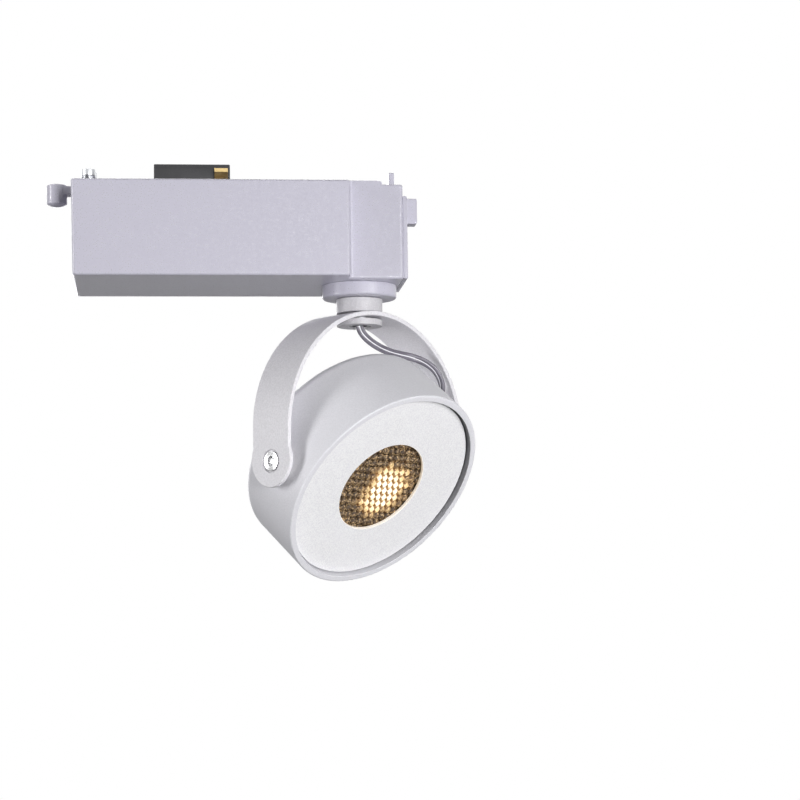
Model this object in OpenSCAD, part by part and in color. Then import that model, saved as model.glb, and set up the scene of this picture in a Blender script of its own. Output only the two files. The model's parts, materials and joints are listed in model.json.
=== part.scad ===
// Track spotlight: a driver box that locks into a lighting rail, a swivel stem, a bent strip yoke
// and a short drum head that tilts between the yoke's arms.
// Millimetres. The origin is on the rail seat, straight above the swivel axis. +X runs along the
// rail towards the latch end, +Z is up, and -Y is the side that the head faces when pan_angle is 0.

/* [Pose] */
// Turn of the yoke about the swivel axis
pan_angle = 40; // [0:1:90]
// Aim of the head below the horizontal
tilt_angle = 38; // [20:1:60]

/* [Driver box] */
// Distance from the swivel axis to the left end
box_left = 128; // [120:1:150]
// Distance from the swivel axis back to the shoulder where the box narrows
shoulder_back = 6; // [4:0.5:10]
// Distance from the swivel axis to the face of the narrow nose
nose_right = 18.2; // [17.5:0.1:24]
// Width of the main part
main_width = 64; // [58:1:80]
// Width of the narrow nose
nose_width = 44; // [40:1:50]
// Height of the box, from its floor to its rim
box_height = 42.6; // [38:0.2:60]
// Thickness of the walls and of the floor
wall = 2; // [1.6:0.1:3]
// Radius of the upright outer corners
corner_r = 1.6; // [0.8:0.1:3]
// Radius of the cove between the shoulder and the nose
cove_r = 1.8; // [1:0.1:8.5]
// Height by which the nose's rim stands above the main rim
nose_step = 1.3; // [0.6:0.1:2]
// Distance from the swivel axis to the end of the raised nose rim
nose_step_end = 9; // [4:0.5:12]
// Lean of the left end, inwards towards the floor
end_draft = 1; // [0:0.1:2]

/* [Rail seat] */
// Height of the seat above the main rim of the box
seat_rise = 3.4; // [2.6:0.1:6]
// Width of the raised seat
seat_width = 26; // [22:1:32]
// Gap between the lever's well and the seat's left end
seat_gap = 2; // [1:0.5:4]
// Gap between the contact block and the bearing pad
pad_gap = 14; // [5:1:20]
// Distance from the swivel axis to the right end of the seat and the pad
pad_right = 8; // [5:0.5:9]
// Height of the bearing pad above the rest of the seat
pad_rise = 0.6; // [0.3:0.1:1]
// Thickness of the top cover
cover_t = 2.4; // [2:0.1:3]
// Depth of the cover below the main rim
cover_sink = 0.5; // [0.2:0.1:1]
// Diameter of the cover's screws
cover_screw_d = 3; // [2.5:0.5:3.5]
// Diameter of the posts that carry the cover
post_d = 7; // [6:0.5:8]

/* [Contacts] */
// Length of the contact block along the rail
contact_len = 34; // [24:1:36]
// Distance from the seat's left end to the contact block
contact_inset = 6; // [4:0.5:10]
// Width of the contact block, which passes through the rail's slot
contact_width = 13.4; // [11:0.2:14]
// Height of the contact block above the seat plane
contact_rise = 8.6; // [8:0.2:12]
// Width of a contact leaf along the rail
leaf_width = 6; // [4:0.5:8]
// Thickness of a contact leaf
leaf_t = 0.5; // [0.4:0.1:0.8]
// How far a leaf's bow stands out from the block
leaf_bow = 2.7; // [1.5:0.1:3.5]

/* [Lock lever] */
// Distance from the box's left end to the lever's pivot
lever_inset = 7; // [6.5:0.1:8]
// Distance from the pivot to the middle of the knob
lever_reach = 14.2; // [13:0.1:15]
// Diameter of the knob
knob_d = 9.1; // [7:0.1:10]
// Height of the knob
knob_height = 10.2; // [8:0.1:11]
// Thickness of the lever's arm
arm_t = 3.8; // [3:0.1:5]
// Width of the lever's arm at the hub
arm_width = 6; // [5:0.5:7]
// Diameter of the lever's hub
hub_d = 11; // [10:0.5:13]
// Diameter of the lever's journal in the cover
journal_d = 6; // [5:0.5:6.5]
// Length of the lock bar
lock_len = 20; // [18:0.5:22]
// Width of the lock bar
lock_width = 6; // [5:0.5:7]
// Thickness of the lock bar
lock_t = 3; // [2:0.1:4]
// Height of the lock bar's underside above the seat plane
lock_lift = 2.4; // [2:0.1:3.5]
// Diameter of the lock bar's neck
lock_neck_d = 7; // [6.5:0.5:8]

/* [Latch] */
// Travel of the latch
latch_travel = 5; // [3:0.5:6]
// Thickness of the latch plate
latch_t = 2.4; // [2:0.1:3]
// Width of the latch plate
latch_width = 15; // [14:0.5:18]
// Height of the latch plate inside the box
latch_height = 23; // [22:0.5:26]
// Width of the tongue that enters the rail
tongue_width = 12; // [8:0.5:13]
// Height of the tongue above the seat plane
tongue_rise = 5; // [3:0.2:7]
// Height of the thumb tab
tab_height = 11.6; // [9:0.1:14]
// Width of the thumb tab
tab_width = 8; // [7:0.5:12]
// How far the thumb tab stands out of the end cap
tab_out = 6.2; // [4:0.1:8]
// Depth of the thumb tab's top below the seat plane
tab_drop = 6.4; // [5.5:0.1:8]
// Thickness of the end cap
end_cap_t = 2; // [1.6:0.1:3]
// Margin between the end cap's sides and the nose's
end_cap_inset = 1.5; // [1:0.1:4]
// Depth of the end cap's top below the seat plane
end_cap_drop = 8.4; // [7:0.1:10]
// Mean diameter of the latch spring
spring_d = 5; // [4.4:0.1:5]
// Wire diameter of the latch spring
spring_wire = 0.8; // [0.6:0.1:1]

/* [Swivel] */
// Diameter of the collar under the box
collar_d = 33.6; // [28:0.2:36]
// Height of the collar
collar_height = 6; // [4:0.2:10]
// Radius of the collar's lower edge
collar_edge_r = 1; // [0.4:0.1:1.5]
// Diameter of the collar's spigot in the box's floor
spigot_d = 13.2; // [12.6:0.1:14]
// Diameter of the stem
stem_d = 20.8; // [18:0.1:24]
// Height of the stem
stem_height = 6.4; // [5:0.1:20]
// Outer diameter of the hollow nipple
nipple_d = 10; // [9:0.1:11]
// Bore of the hollow nipple
nipple_bore = 7; // [6:0.1:7.6]
// Across flats of the swivel nut
nut_flats = 14; // [13:0.5:16]
// Height of the swivel nut
nut_height = 5; // [4:0.5:6]
// Gap between the thrust washer and the spring's foot
thrust_gap = 0.3; // [0.2:0.1:0.8]
// Thickness of the thrust washer
thrust_t = 1; // [0.8:0.1:1.6]
// Diameter of the saddle washer under the yoke
saddle_d = 20.6; // [18:0.1:24]
// Thickness of the saddle washer
saddle_t = 2.8; // [2:0.1:4]

/* [Yoke] */
// Width of the yoke's strip at the top of the arch
strip_width = 24.6; // [20:0.2:28]
// Width of the yoke's strip at the tilt axis
strip_low_width = 22.2; // [20:0.2:26]
// Thickness of the yoke's strip
strip_t = 2; // [1.6:0.1:3]
// Gap between the drum and the yoke's arms
arm_gap = 3.2; // [2.5:0.1:6]
// Height of the arch's centre above the tilt axis
arm_straight = 14; // [10:0.2:20]
// How far the rounded arm ends stand out past the strip's edges
arm_end_swell = 1.2; // [0:0.1:2]
// Height of the arm ends' rounding above the tilt axis
arm_end_lift = 0.9; // [0:0.1:2]

/* [Head] */
// Radius of the drum
drum_r = 50; // [48:0.5:51]
// Distance from the tilt axis to the front rim
drum_front = 18.6; // [16:0.2:24]
// Distance from the tilt axis to the drum's back
drum_back = 20; // [18:0.2:22]
// Radius of the drum's rounded back edge
back_edge_r = 6; // [4:0.2:8]
// Radius of the front rim's outer edge
rim_edge_r = 0.8; // [0.4:0.1:1.2]
// Width of the front rim
rim_wall = 3; // [2.4:0.1:4]
// Thickness of the drum's back
back_t = 3; // [2:0.1:4]
// Thickness of the drum's wall behind the rim
drum_wall = 6; // [5:0.1:7]
// Diameter of the tilt bosses
boss_d = 16; // [13:0.5:18]
// Height of the tilt bosses above the drum
boss_rise = 0.7; // [0.4:0.1:1]
// Length of the thread in a tilt boss
boss_depth = 15; // [12:0.5:17]
// Diameter of the pivot screws
pivot_d = 6; // [5:0.5:6.5]
// Diameter of the recesses in the yoke's arms for the pivot screws' heads
pivot_seat_d = 10; // [9:0.1:12]
// Head diameter of the pivot screws
pivot_head_d = 8.8; // [8:0.1:11]
// Across flats of the pivot screws' sockets
socket_flats = 4; // [3:0.1:4.5]

/* [Optics] */
// Gap between the front disc and the rim
ring_gap = 0.6; // [0.5:0.1:2]
// Thickness of the front disc
disc_t = 1.5; // [1:0.1:2]
// Depth of the front disc behind the rim
disc_recess = 2.7; // [1.5:0.1:4]
// Diameter of the aperture in the front disc
aperture_d = 45.1; // [40:0.1:46]
// Diameter of the lens
lens_d = 52; // [49:0.5:56]
// Thickness of the lens
lens_t = 3; // [2.4:0.1:3.6]
// Thickness of the heat spreader plate
spreader_t = 4; // [3:0.1:5]
// Gap between the heat spreader plate and the drum's wall
spreader_gap = 2.5; // [1:0.5:5]
// Side of the light source's square carrier
led_side = 19; // [16:0.5:20]
// Thickness of the light source's carrier
led_t = 1.2; // [1:0.1:1.6]
// Diameter of the light source's emitter
emitter_d = 14.5; // [10:0.5:15]
// Height of the emitter above its carrier
emitter_t = 0.5; // [0.3:0.1:0.8]
// Diameter of the light source's holder
holder_d = 44; // [42:0.5:48]
// Height of the light source's holder
holder_t = 5; // [4:0.1:6]
// Wall of the reflector
reflector_t = 1.2; // [0.8:0.1:1.6]
// Diameter of the screws that hold the heat spreader and the holder
small_screw_d = 3; // [2.5:0.5:3.5]

/* [Cable] */
// Diameter of the cable
cable_d = 3.6; // [3:0.1:4]
// Outer diameter of the grommet in the drum's back
grommet_d = 9; // [8:0.5:11]

/* [Electronics] */
// Gap between the box's left wall and the driver board
board_end_gap = 10; // [6:1:14]
// Gap between the driver board's sides and the cover's posts
board_side_gap = 0.5; // [0.3:0.1:2]
// Thickness of the driver board
board_t = 1.6; // [1.2:0.1:2]
// Distance from the swivel axis to the driver board's right edge
board_right = 26; // [25:0.5:27]
// Height of the driver board's underside above the floor
board_lift = 6; // [4:0.5:8]
// Distance from the transformer to the middle of a supply lead
transformer_gap = 2.5; // [1.5:0.1:4]
// Width of the transformer
transformer_width = 22; // [18:0.5:28]
// Height of the transformer
transformer_height = 17; // [12:0.5:19]
// Diameter of a filter capacitor
cap_d = 10; // [8:0.5:12]
// Height of a filter capacitor
cap_height = 18; // [12:0.5:19]
// Outer diameter of the choke
choke_d = 16; // [12:0.5:18]
// Height of the choke
choke_height = 7; // [5:0.5:8]

/* [Clearances] */
// Radial running clearance of a journal
run_gap = 0.08; // [0.05:0.01:0.1]
// Gap between faces that turn or slide on each other
face_gap = 0.2; // [0.1:0.05:0.3]
// Radial clearance of a fixed fit
fit_gap = 0.05; // [0.03:0.01:0.1]
// Clearance around pieces that drop into the box
drop_gap = 0.2; // [0.1:0.05:0.3]
// Radial clearance around the cable
cable_gap = 0.2; // [0.15:0.05:0.3]

/* [Hidden] */
$fn = 96;
cut = 1;

plastic_white = [0.86, 0.86, 0.9];
paint_white = [0.9, 0.9, 0.9];
paint_grained = [0.93, 0.93, 0.94];
paint_grey = [0.74, 0.74, 0.75];
steel = [0.72, 0.72, 0.74];
brass = [0.8, 0.62, 0.3];
nylon = [0.93, 0.93, 0.9];
dark = [0.16, 0.16, 0.18];

// Screws
screw_head_d = small_screw_d + 2.6;
screw_head_t = 1.8;
screw_recess = [3.4, 0.8];
screw_weld = 0.1;
screw_short = 0.5;
cover_screw_head_d = cover_screw_d + 2.7;
cover_screw_head_t = 0.45;
cover_screw_bite = 8;

// Levels of the box
rim_z = -seat_rise;
floor_under_z = rim_z - box_height;
floor_z = floor_under_z + wall;
cover_top_z = rim_z - cover_sink;
cover_under_z = cover_top_z - cover_t;
seat_top_z = -pad_rise;

// Plan positions of the box
shoulder_x = -shoulder_back;
inner_left = -box_left + wall;
inner_main_right = shoulder_x - wall;
inner_nose_right = nose_right - wall;
inner_half = main_width / 2 - wall;
inner_nose_half = nose_width / 2 - wall;
shoulder_step = (main_width - nose_width) / 2;
cove_fit_r = min(cove_r, shoulder_step - corner_r);
post_inset = 6;
post_side_inset = 4;
post_hole_depth = 10;
cavity_corner_r = 1;
end_block = 10;

// Lock lever and its well
well_gap = 0.65;
knob_clear = 1;
knob_bottom_r = 9.1;
knob_top_r = 21.8;
arm_tip_width = 7.6;
lever_x = box_left - lever_inset;
well_r = lever_reach + knob_d / 2 + well_gap;
well_wall = 1.6;
knob_top_z = -0.2;
knob_bottom_z = knob_top_z - knob_height;
well_floor_z = knob_bottom_z - knob_clear;
well_under_z = well_floor_z - wall;
arm_top_z = -1.4;
journal_boss_d = 9;
journal_len = 8;
journal_end_z = well_under_z - journal_len;
lever_screw_head_d = 8;
lever_screw_head_t = 1.8;
lever_screw_d = 3;
lever_screw_short = 1;
lock_tenon_d = 5;
lock_tenon_len = 5;
hub_top_z = -0.6;

// Seat and cover
seat_left = lever_x - well_r - well_wall - seat_gap;
post_y = inner_half - post_side_inset;
cover_posts = [for (x = [well_r - lever_x, inner_main_right - post_inset], s = [-1, 1])
    [x, s * post_y]];

// Latch
latch_right = inner_nose_right - face_gap;
latch_left = latch_right - latch_t;
latch_top_z = cover_under_z - face_gap;
latch_bottom_z = latch_top_z - latch_height;
latch_neck_width = 5;
latch_neck_height = 6;
latch_neck_z = -tab_drop - tab_height / 2;
tab_inner_x = nose_right + end_cap_t + 2 * face_gap;
tab_edge_r = 0.8;
spring_foot_d = spring_d + spring_wire + drop_gap;
spring_foot_h = 2;
spring_seat_x = inner_nose_right - drop_gap - spring_foot_d / 2;
spring_seat_d = spring_d - spring_wire - 3 * drop_gap;
spring_seat_h = 3;
latch_shelf_t = 2;
spring_low_z = floor_z + spring_foot_h;
spring_turns = 5;
spring_steps = 12;

// End cap
end_cap_width = nose_width - 2 * end_cap_inset;
cap_low_z = floor_under_z + 0.4;
cap_top_z = -end_cap_drop;
cap_screw_inset = 5;
cap_screw_lift = 9;
cap_screw_sink = 1;

// Contacts
contact_chamfer = [2, 3];
contact_root = 0.5;
contact_flange = 3;
contact_flange_t = 2.4;
contact_left = contact_inset - seat_left;
contact_x = -contact_left - contact_len / 2;
pad_left = contact_x - contact_len / 2 - pad_gap;
leaf_slot_z = 1.4;
leaf_tail_y = 3;
leaf_tail_drop = 4;
leaf_root_out = 0.6;
leaf_tip_out = 0.5;
leaf_tip_drop = 2.2;
leaf_end_x = 4;
leaf_tail_z = cover_under_z - contact_flange_t - leaf_tail_drop;
leaf_places = [contact_left + leaf_end_x, contact_left + contact_len - leaf_end_x];
supply_lead_d = 1.8;

// Swivel
thrust_d = 2 * (spring_seat_x - spring_foot_d / 2 - thrust_gap);
collar_low_z = floor_under_z - collar_height;
stem_top_z = collar_low_z - face_gap;
yoke_top_z = stem_top_z - stem_height;
arch_inner_r = drum_r + arm_gap;
arch_r = arch_inner_r + strip_t;
yoke_rise = arch_r + arm_straight;
pivot_z = yoke_top_z - yoke_rise;
arm_end_r = strip_low_width / 2 + arm_end_swell;
arm_end_z = pivot_z + arm_end_lift;
arch_centre_z = yoke_top_z - arch_r;
saddle_drop = arch_inner_r - sqrt(pow(arch_inner_r, 2) - pow(saddle_d / 2, 2));
saddle_top_z = yoke_top_z - strip_t - saddle_drop - fit_gap;
saddle_low_z = saddle_top_z - saddle_t;
nut_low_z = floor_z + thrust_t + face_gap;
nipple_proud = 1.5;
nipple_short = 0.3;
nipple_top_z = nut_low_z + nut_height + nipple_proud;
nipple_low_z = saddle_low_z + nipple_short;
bush_len = 6;

// Head, along its own axis: 0 is the tilt axis and + is towards the front
disc_back = drum_front - disc_recess - disc_t;
rim_inner_r = drum_r - rim_wall;
cavity_r = drum_r - drum_wall;
disc_d = 2 * (rim_inner_r - ring_gap);
spreader_d = 2 * (cavity_r - spreader_gap);
floor_front = -drum_back + back_t;
spreader_front = floor_front + spreader_t;
led_front = spreader_front + led_t;
holder_front = spreader_front + holder_t;
lens_back = disc_back - lens_t;
boss_face = drum_r + boss_rise;
reflector_mouth_r = lens_d / 2;
reflector_throat_gap = 1.4;
reflector_throat_r = emitter_d / 2 + reflector_throat_gap;
screw_ring_inset = 9.5;
screw_ring_r = cavity_r - screw_ring_inset;
pivot_short = 1;
pivot_seat_depth = strip_t / 2;
pivot_head_t = pivot_seat_depth - face_gap;
socket_depth = 1.9;
holder_ring_r = 17;
holder_screw_sink = 0.2;
grommet_at = [27, 7];
grommet_flange = 1.6;
grommet_flange_t = 1.5;
grommet_inner_flange = 1.3;
lead_d = 2;

// Board
board_z = floor_z + board_lift;
board_top_z = board_z + board_t;
board_left = inner_left + board_end_gap;
board_len = -board_right - board_left;
board_width = 2 * (post_y - post_d / 2 - board_side_gap);
board_hole_inset = 5;
board_post_d = 6;
board_hole_depth = 5;
board_screw_bite = 4;
board_posts = [for (x = [board_left + board_hole_inset, -board_right - board_hole_inset], s = [-1, 1])
    [x, s * (board_width / 2 - board_hole_inset)]];
terminal_size = [10, 14, 9];
terminal_pitch = 7;
terminal_hole_d = 4;
terminal_hole_depth = 2;
terminal_inset = 1;
cap_gap = 8;
cap_between = 6;
cap_vent = [0.6, 0.4];
choke_bore = 7.2;
choke_inset = 2;
coil_inset = 2.1;
coil_overhang = 3.3;
coil_crown = 1.7;
transformer_foot = 3.4;
transformer_len = contact_len - 2 * leaf_end_x - 2 * transformer_gap;

// Cable routes, chosen by hand. The head's cable is in the yoke's frame: x runs along the tilt axis,
// y away from the aim, and z is the height.
HEAD_CABLE = [
    [0, 0, -38], [0, 0, -44], [0, 0, -50], [0, 0, -56], [0, 0, -60.5], [0.05, 0, -64.2],
    [1.5, -0.2, -67.2], [5.2, -0.7, -70.2], [10.4, -1.5, -72.8], [16.4, -2.4, -74.7],
    [22.6, -3.4, -75.7], [28.8, -5, -76.6], [34, -7.2, -78.4], [37.8, -9.2, -81.1],
    [40.6, -10, -84.2], [42.5, -10, -87.4], [43.8, -9.2, -90.6], [45.6, -6.2, -94.4],
    [46.8, -1.6, -97.2], [46.9, 2.8, -98.1], [46.7, 7.2, -99], [46, 11.5, -99.8],
    [44.8, 15.8, -100.4], [42.6, 19.6, -101], [39.2, 22.5, -101.4], [35, 23.6, -101.7],
    [30.8, 22.3, -102.5], [27.9, 19.4, -104.1]
];
cable_end = [for (d = [5.5, 2, -1.5]) head_to_yoke([grommet_at[0], grommet_at[1], -drum_back - d])];
OUTPUT_LEAD = [
    [-26.9, 0, -31.5], [-23, 0, -31.5], [-19, 0, -29.5], [-14.5, 0, -25.5], [-9, 0, -22.4], [-4, 0, -22.6],
    [-1, 0, -25.4], [0, 0, -29], [0, 0, -33], [0, 0, -37.7]
];
// In the head's frame: x along the tilt axis, y up the drum's face, z towards the front
LED_LEAD = [
    [27, 7, -16.6], [27, 7, -12], [26.6, 7, -8], [24.6, 6.6, -4.8], [21.6, 6, -3.6],
    [18.8, 5.4, -4.2], [17.6, 5, -6], [17.6, 5, -7.9]
];

// Functions for swept tubes and bent strips
function head_to_yoke(p) = [p[0], -p[1] * sin(tilt_angle) - p[2] * cos(tilt_angle),
    pivot_z + p[1] * cos(tilt_angle) - p[2] * sin(tilt_angle)];
function unit(v) = v / norm(v);
function perp(v) = [-v[1], v[0]];
function tangent(p, i) = unit(p[min(i + 1, len(p) - 1)] - p[max(i - 1, 0)]);
function side_axis(p, i, start) =
    let (t = tangent(p, i), before = i == 0 ? start : side_axis(p, i - 1, start))
    unit(before - (before * t) * t);
function ring(p, i, r, sides, start) =
    let (t = tangent(p, i), u = side_axis(p, i, start), v = cross(t, u))
    [for (k = [0 : sides - 1]) p[i] + r * (cos(360 * k / sides) * u + sin(360 * k / sides) * v)];
function bent_strip(p, t) =
    let (n = len(p))
    concat(p, [for (i = [n - 1 : -1 : 0])
        let (a = perp(unit(p[max(i, 1)] - p[max(i, 1) - 1])),
             b = perp(unit(p[min(i, n - 2) + 1] - p[min(i, n - 2)])))
        p[i] + (a + b) * t / (1 + a * b)]);

// A tube of diameter d along the points p; start is any direction across its first stretch
module tube(p, d, sides, start) {
    n = len(p);
    points = [for (i = [0 : n - 1]) each ring(p, i, d / 2, sides, start)];
    skin = [for (i = [0 : n - 2], k = [0 : sides - 1])
        let (m = (k + 1) % sides)
        each [[i * sides + k, (i + 1) * sides + k, (i + 1) * sides + m],
              [i * sides + k, (i + 1) * sides + m, i * sides + m]]];
    first = [[for (k = [0 : sides - 1]) k]];
    last = [[for (k = [sides - 1 : -1 : 0]) (n - 1) * sides + k]];
    polyhedron(points, concat(skin, first, last));
}

// A rectangle between two corners, with round corners
module round_rect(low, high, r) {
    translate([low[0] + r, low[1]]) square([high[0] - low[0] - 2 * r, high[1] - low[1]]);
    translate([low[0], low[1] + r]) square([high[0] - low[0], high[1] - low[1] - 2 * r]);
    for (x = [low[0] + r, high[0] - r], y = [low[1] + r, high[1] - r])
        translate([x, y]) circle(r);
}

// Outer plan of the box, without its leaning left end
module box_plan() {
    round_rect([end_block / 2 - box_left, -main_width / 2], [shoulder_x, main_width / 2], corner_r);
    round_rect([shoulder_x - 4 * corner_r, -nose_width / 2], [nose_right, nose_width / 2], corner_r);
    for (s = [0, 1]) mirror([0, s]) translate([shoulder_x, nose_width / 2]) difference() {
        translate([-corner_r, -corner_r]) square(cove_fit_r + corner_r);
        translate([cove_fit_r, cove_fit_r]) circle(cove_fit_r);
    }
}

// The left end of the box, which leans and keeps its round corners from the rim to the floor
module leaning_end() {
    intersection() {
        translate([-box_left, 0, rim_z]) rotate([0, -end_draft, 0]) translate([0, 0, -2 * box_height])
            linear_extrude(4 * box_height)
                round_rect([0, -main_width / 2], [end_block, main_width / 2], corner_r);
        translate([-2 * box_left, -main_width, floor_under_z])
            cube([4 * box_left, 2 * main_width, box_height]);
    }
}

// Inner plan of the box, drawn in by a gap
module cavity_plan(gap) {
    round_rect([inner_left + gap, -inner_half + gap], [inner_main_right - gap, inner_half - gap],
        cavity_corner_r);
    round_rect([inner_main_right - 4 * corner_r, -inner_nose_half + gap],
        [inner_nose_right - gap, inner_nose_half - gap], cavity_corner_r);
}

module at_points(places, z) {
    for (p = places) translate([p[0], p[1], z]) children();
}

// A pan head screw that stands on z = 0, with its shank downwards
module small_screw(d, head_d, head_t, length) {
    difference() {
        cylinder(d = head_d, h = head_t);
        translate([0, 0, head_t / 2]) for (a = [0, 90])
            rotate(a) translate([-screw_recess[0] / 2, -screw_recess[1] / 2, 0])
                cube([screw_recess[0], screw_recess[1], head_t]);
    }
    translate([0, 0, -length]) cylinder(d = d, h = length + screw_weld);
}

// The yoke's frame: x along the tilt axis, aim towards -y
module yoke_frame() {
    rotate(pan_angle) children();
}

// The head's frame: x along the tilt axis, z towards the front
module head_frame() {
    translate([0, 0, pivot_z]) rotate(pan_angle) rotate([90 + tilt_angle, 0, 0]) children();
}

// Both ends of the tilt axis, each with z pointing outwards
module tilt_ends() {
    for (a = [90, -90]) rotate([0, a, 0]) children();
}

module driver_housing() color(plastic_white) difference() {
    union() {
        difference() {
            union() {
                translate([0, 0, floor_under_z]) linear_extrude(box_height + nose_step) box_plan();
                leaning_end();
            }
            translate([-box_left - cut, -main_width, rim_z])
                cube([box_left + shoulder_x + cut, 2 * main_width, nose_step + cut]);
            translate([nose_step_end, -main_width, rim_z])
                cube([nose_right, 2 * main_width, nose_step + cut]);
            translate([0, 0, floor_z]) linear_extrude(box_height + nose_step) cavity_plan(0);
        }
        at_points(cover_posts, floor_z - cut / 2)
            cylinder(d = post_d, h = cover_under_z - floor_z + cut / 2);
        at_points(board_posts, floor_z - cut / 2)
            cylinder(d = board_post_d, h = board_lift + cut / 2);
        translate([spring_seat_x, 0, floor_z - cut / 2])
            cylinder(d = spring_foot_d, h = spring_foot_h + cut / 2);
        translate([spring_seat_x, 0, spring_low_z - cut / 2])
            cylinder(d = spring_seat_d, h = spring_seat_h + cut / 2);
    }
    // Notch for the lever
    translate([-box_left - cut, -well_r, well_floor_z])
        cube([wall + 2 * cut + drop_gap, 2 * well_r, box_height]);
    // Hole for the collar's spigot
    translate([0, 0, floor_under_z - cut]) cylinder(d = spigot_d + 2 * fit_gap, h = wall + 2 * cut);
    // Slot for the latch's neck
    translate([inner_nose_right - cut, -latch_neck_width / 2 - face_gap,
            latch_neck_z - latch_neck_height / 2 - latch_travel - face_gap])
        cube([wall + 2 * cut, latch_neck_width + 2 * face_gap,
            latch_neck_height + latch_travel + 2 * face_gap]);
    at_points(cover_posts, cover_under_z - post_hole_depth)
        cylinder(d = cover_screw_d + 2 * fit_gap, h = post_hole_depth + cut);
    at_points(board_posts, board_z - board_hole_depth)
        cylinder(d = small_screw_d + 2 * fit_gap, h = board_hole_depth + cut);
    end_cap_screw_places() translate([0, 0, -wall - cut])
        cylinder(d = small_screw_d + 2 * fit_gap, h = wall + cut + fit_gap);
}

module top_cover() color(plastic_white) difference() {
    union() {
        translate([0, 0, cover_under_z]) linear_extrude(cover_t) cavity_plan(drop_gap);
        translate([-seat_left, -seat_width / 2, cover_under_z])
            cube([seat_left + pad_right, seat_width, seat_top_z - cover_under_z]);
        translate([-pad_left, -seat_width / 2, cover_under_z])
            cube([pad_left + pad_right, seat_width, -cover_under_z]);
        intersection() {
            translate([-lever_x, 0, well_under_z])
                cylinder(r = well_r + well_wall, h = cover_top_z - well_under_z);
            translate([0, 0, well_under_z - cut]) linear_extrude(box_height) cavity_plan(drop_gap);
        }
        translate([-lever_x, 0, journal_end_z])
            cylinder(d = journal_boss_d, h = journal_len + wall / 2);
    }
    translate([-lever_x, 0, well_floor_z]) cylinder(r = well_r, h = box_height);
    translate([-lever_x, 0, journal_end_z - cut])
        cylinder(d = journal_d + 2 * run_gap, h = journal_len + wall + 2 * cut);
    // Hole for the contact block
    translate([contact_left - drop_gap, -contact_width / 2 - drop_gap, cover_under_z - cut])
        cube([contact_len + 2 * drop_gap, contact_width + 2 * drop_gap, box_height]);
    // Slot for the latch's tongue
    translate([latch_left - face_gap, -tongue_width / 2 - face_gap, cover_under_z - cut])
        cube([latch_t + 2 * face_gap, tongue_width + 2 * face_gap, box_height]);
    at_points(cover_posts, cover_under_z - cut) cylinder(d = cover_screw_d + 4 * fit_gap, h = box_height);
}

module cover_screws() color(steel) at_points(cover_posts, cover_top_z)
    small_screw(cover_screw_d, cover_screw_head_d, cover_screw_head_t, cover_t + cover_screw_bite);

module contact_block() color(dark) difference() {
    union() {
        translate([contact_left, 0, 0]) rotate([90, 0, 90]) linear_extrude(contact_len) polygon([
            [-contact_width / 2, cover_under_z - contact_root],
            [contact_width / 2, cover_under_z - contact_root],
            [contact_width / 2, contact_rise - contact_chamfer[1]],
            [contact_width / 2 - contact_chamfer[0], contact_rise],
            [contact_chamfer[0] - contact_width / 2, contact_rise],
            [-contact_width / 2, contact_rise - contact_chamfer[1]]]);
        translate([contact_left - contact_flange, -contact_width / 2 - contact_flange,
                cover_under_z - contact_flange_t])
            cube([contact_len + 2 * contact_flange, contact_width + 2 * contact_flange,
                contact_flange_t]);
    }
    for (s = [0, 1]) mirror([0, s]) translate([leaf_places[s] - leaf_width / 2 - drop_gap, 0, 0]) {
        translate([0, leaf_tail_y - drop_gap, cover_under_z - contact_flange_t - cut])
            cube([leaf_width + 2 * drop_gap, leaf_t + 2 * drop_gap,
                leaf_slot_z + leaf_t + drop_gap - cover_under_z + contact_flange_t + cut]);
        translate([0, leaf_tail_y - drop_gap, leaf_slot_z - drop_gap])
            cube([leaf_width + 2 * drop_gap, contact_width, leaf_t + 2 * drop_gap]);
    }
}

module contact_leaves() color(brass) for (s = [0, 1]) mirror([0, s])
    translate([leaf_places[s] - leaf_width / 2, 0, 0]) rotate([90, 0, 90])
        linear_extrude(leaf_width) polygon(bent_strip([
            [leaf_tail_y + leaf_t, leaf_tail_z], [leaf_tail_y + leaf_t, leaf_slot_z],
            [contact_width / 2 + leaf_root_out, leaf_slot_z],
            [contact_width / 2 + leaf_bow, contact_rise / 2],
            [contact_width / 2 + leaf_tip_out, contact_rise - leaf_tip_drop]], leaf_t));

module supply_leads() color("firebrick") for (s = [0, 1]) mirror([0, s])
    translate([leaf_places[s], leaf_tail_y + leaf_t / 2, board_top_z])
        cylinder(d = supply_lead_d, h = leaf_tail_z - board_top_z);

module driver_board() color("darkgreen") difference() {
    translate([board_left, -board_width / 2, board_z]) cube([board_len, board_width, board_t]);
    at_points(board_posts, board_z - cut) cylinder(d = small_screw_d + 4 * fit_gap, h = board_t + 2 * cut);
}

module board_screws() color(steel) at_points(board_posts, board_top_z)
    small_screw(small_screw_d, screw_head_d, screw_head_t, board_t + board_screw_bite);

module transformer() color("gold") translate([-contact_x - transformer_len / 2, 0, board_top_z]) {
    translate([0, -transformer_width / 2, 0])
        cube([transformer_len, transformer_width, transformer_foot]);
    translate([coil_inset, -transformer_width / 2, 0])
        cube([transformer_len - 2 * coil_inset, transformer_width, transformer_height]);
    translate([0, coil_overhang - transformer_width / 2, 0])
        cube([transformer_len, transformer_width - 2 * coil_overhang, transformer_height - coil_crown]);
}

module filter_capacitors() color(dark) for (s = [-1, 1])
    translate([-board_right - terminal_size[0] - cap_gap, s * (cap_d + cap_between) / 2, board_top_z])
        difference() {
            cylinder(d = cap_d, h = cap_height);
            translate([0, 0, cap_height - cap_vent[1]]) for (a = [0, 90]) rotate(a)
                translate([-cap_d, -cap_vent[0] / 2, 0]) cube([2 * cap_d, cap_vent[0], cut]);
        }

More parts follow.
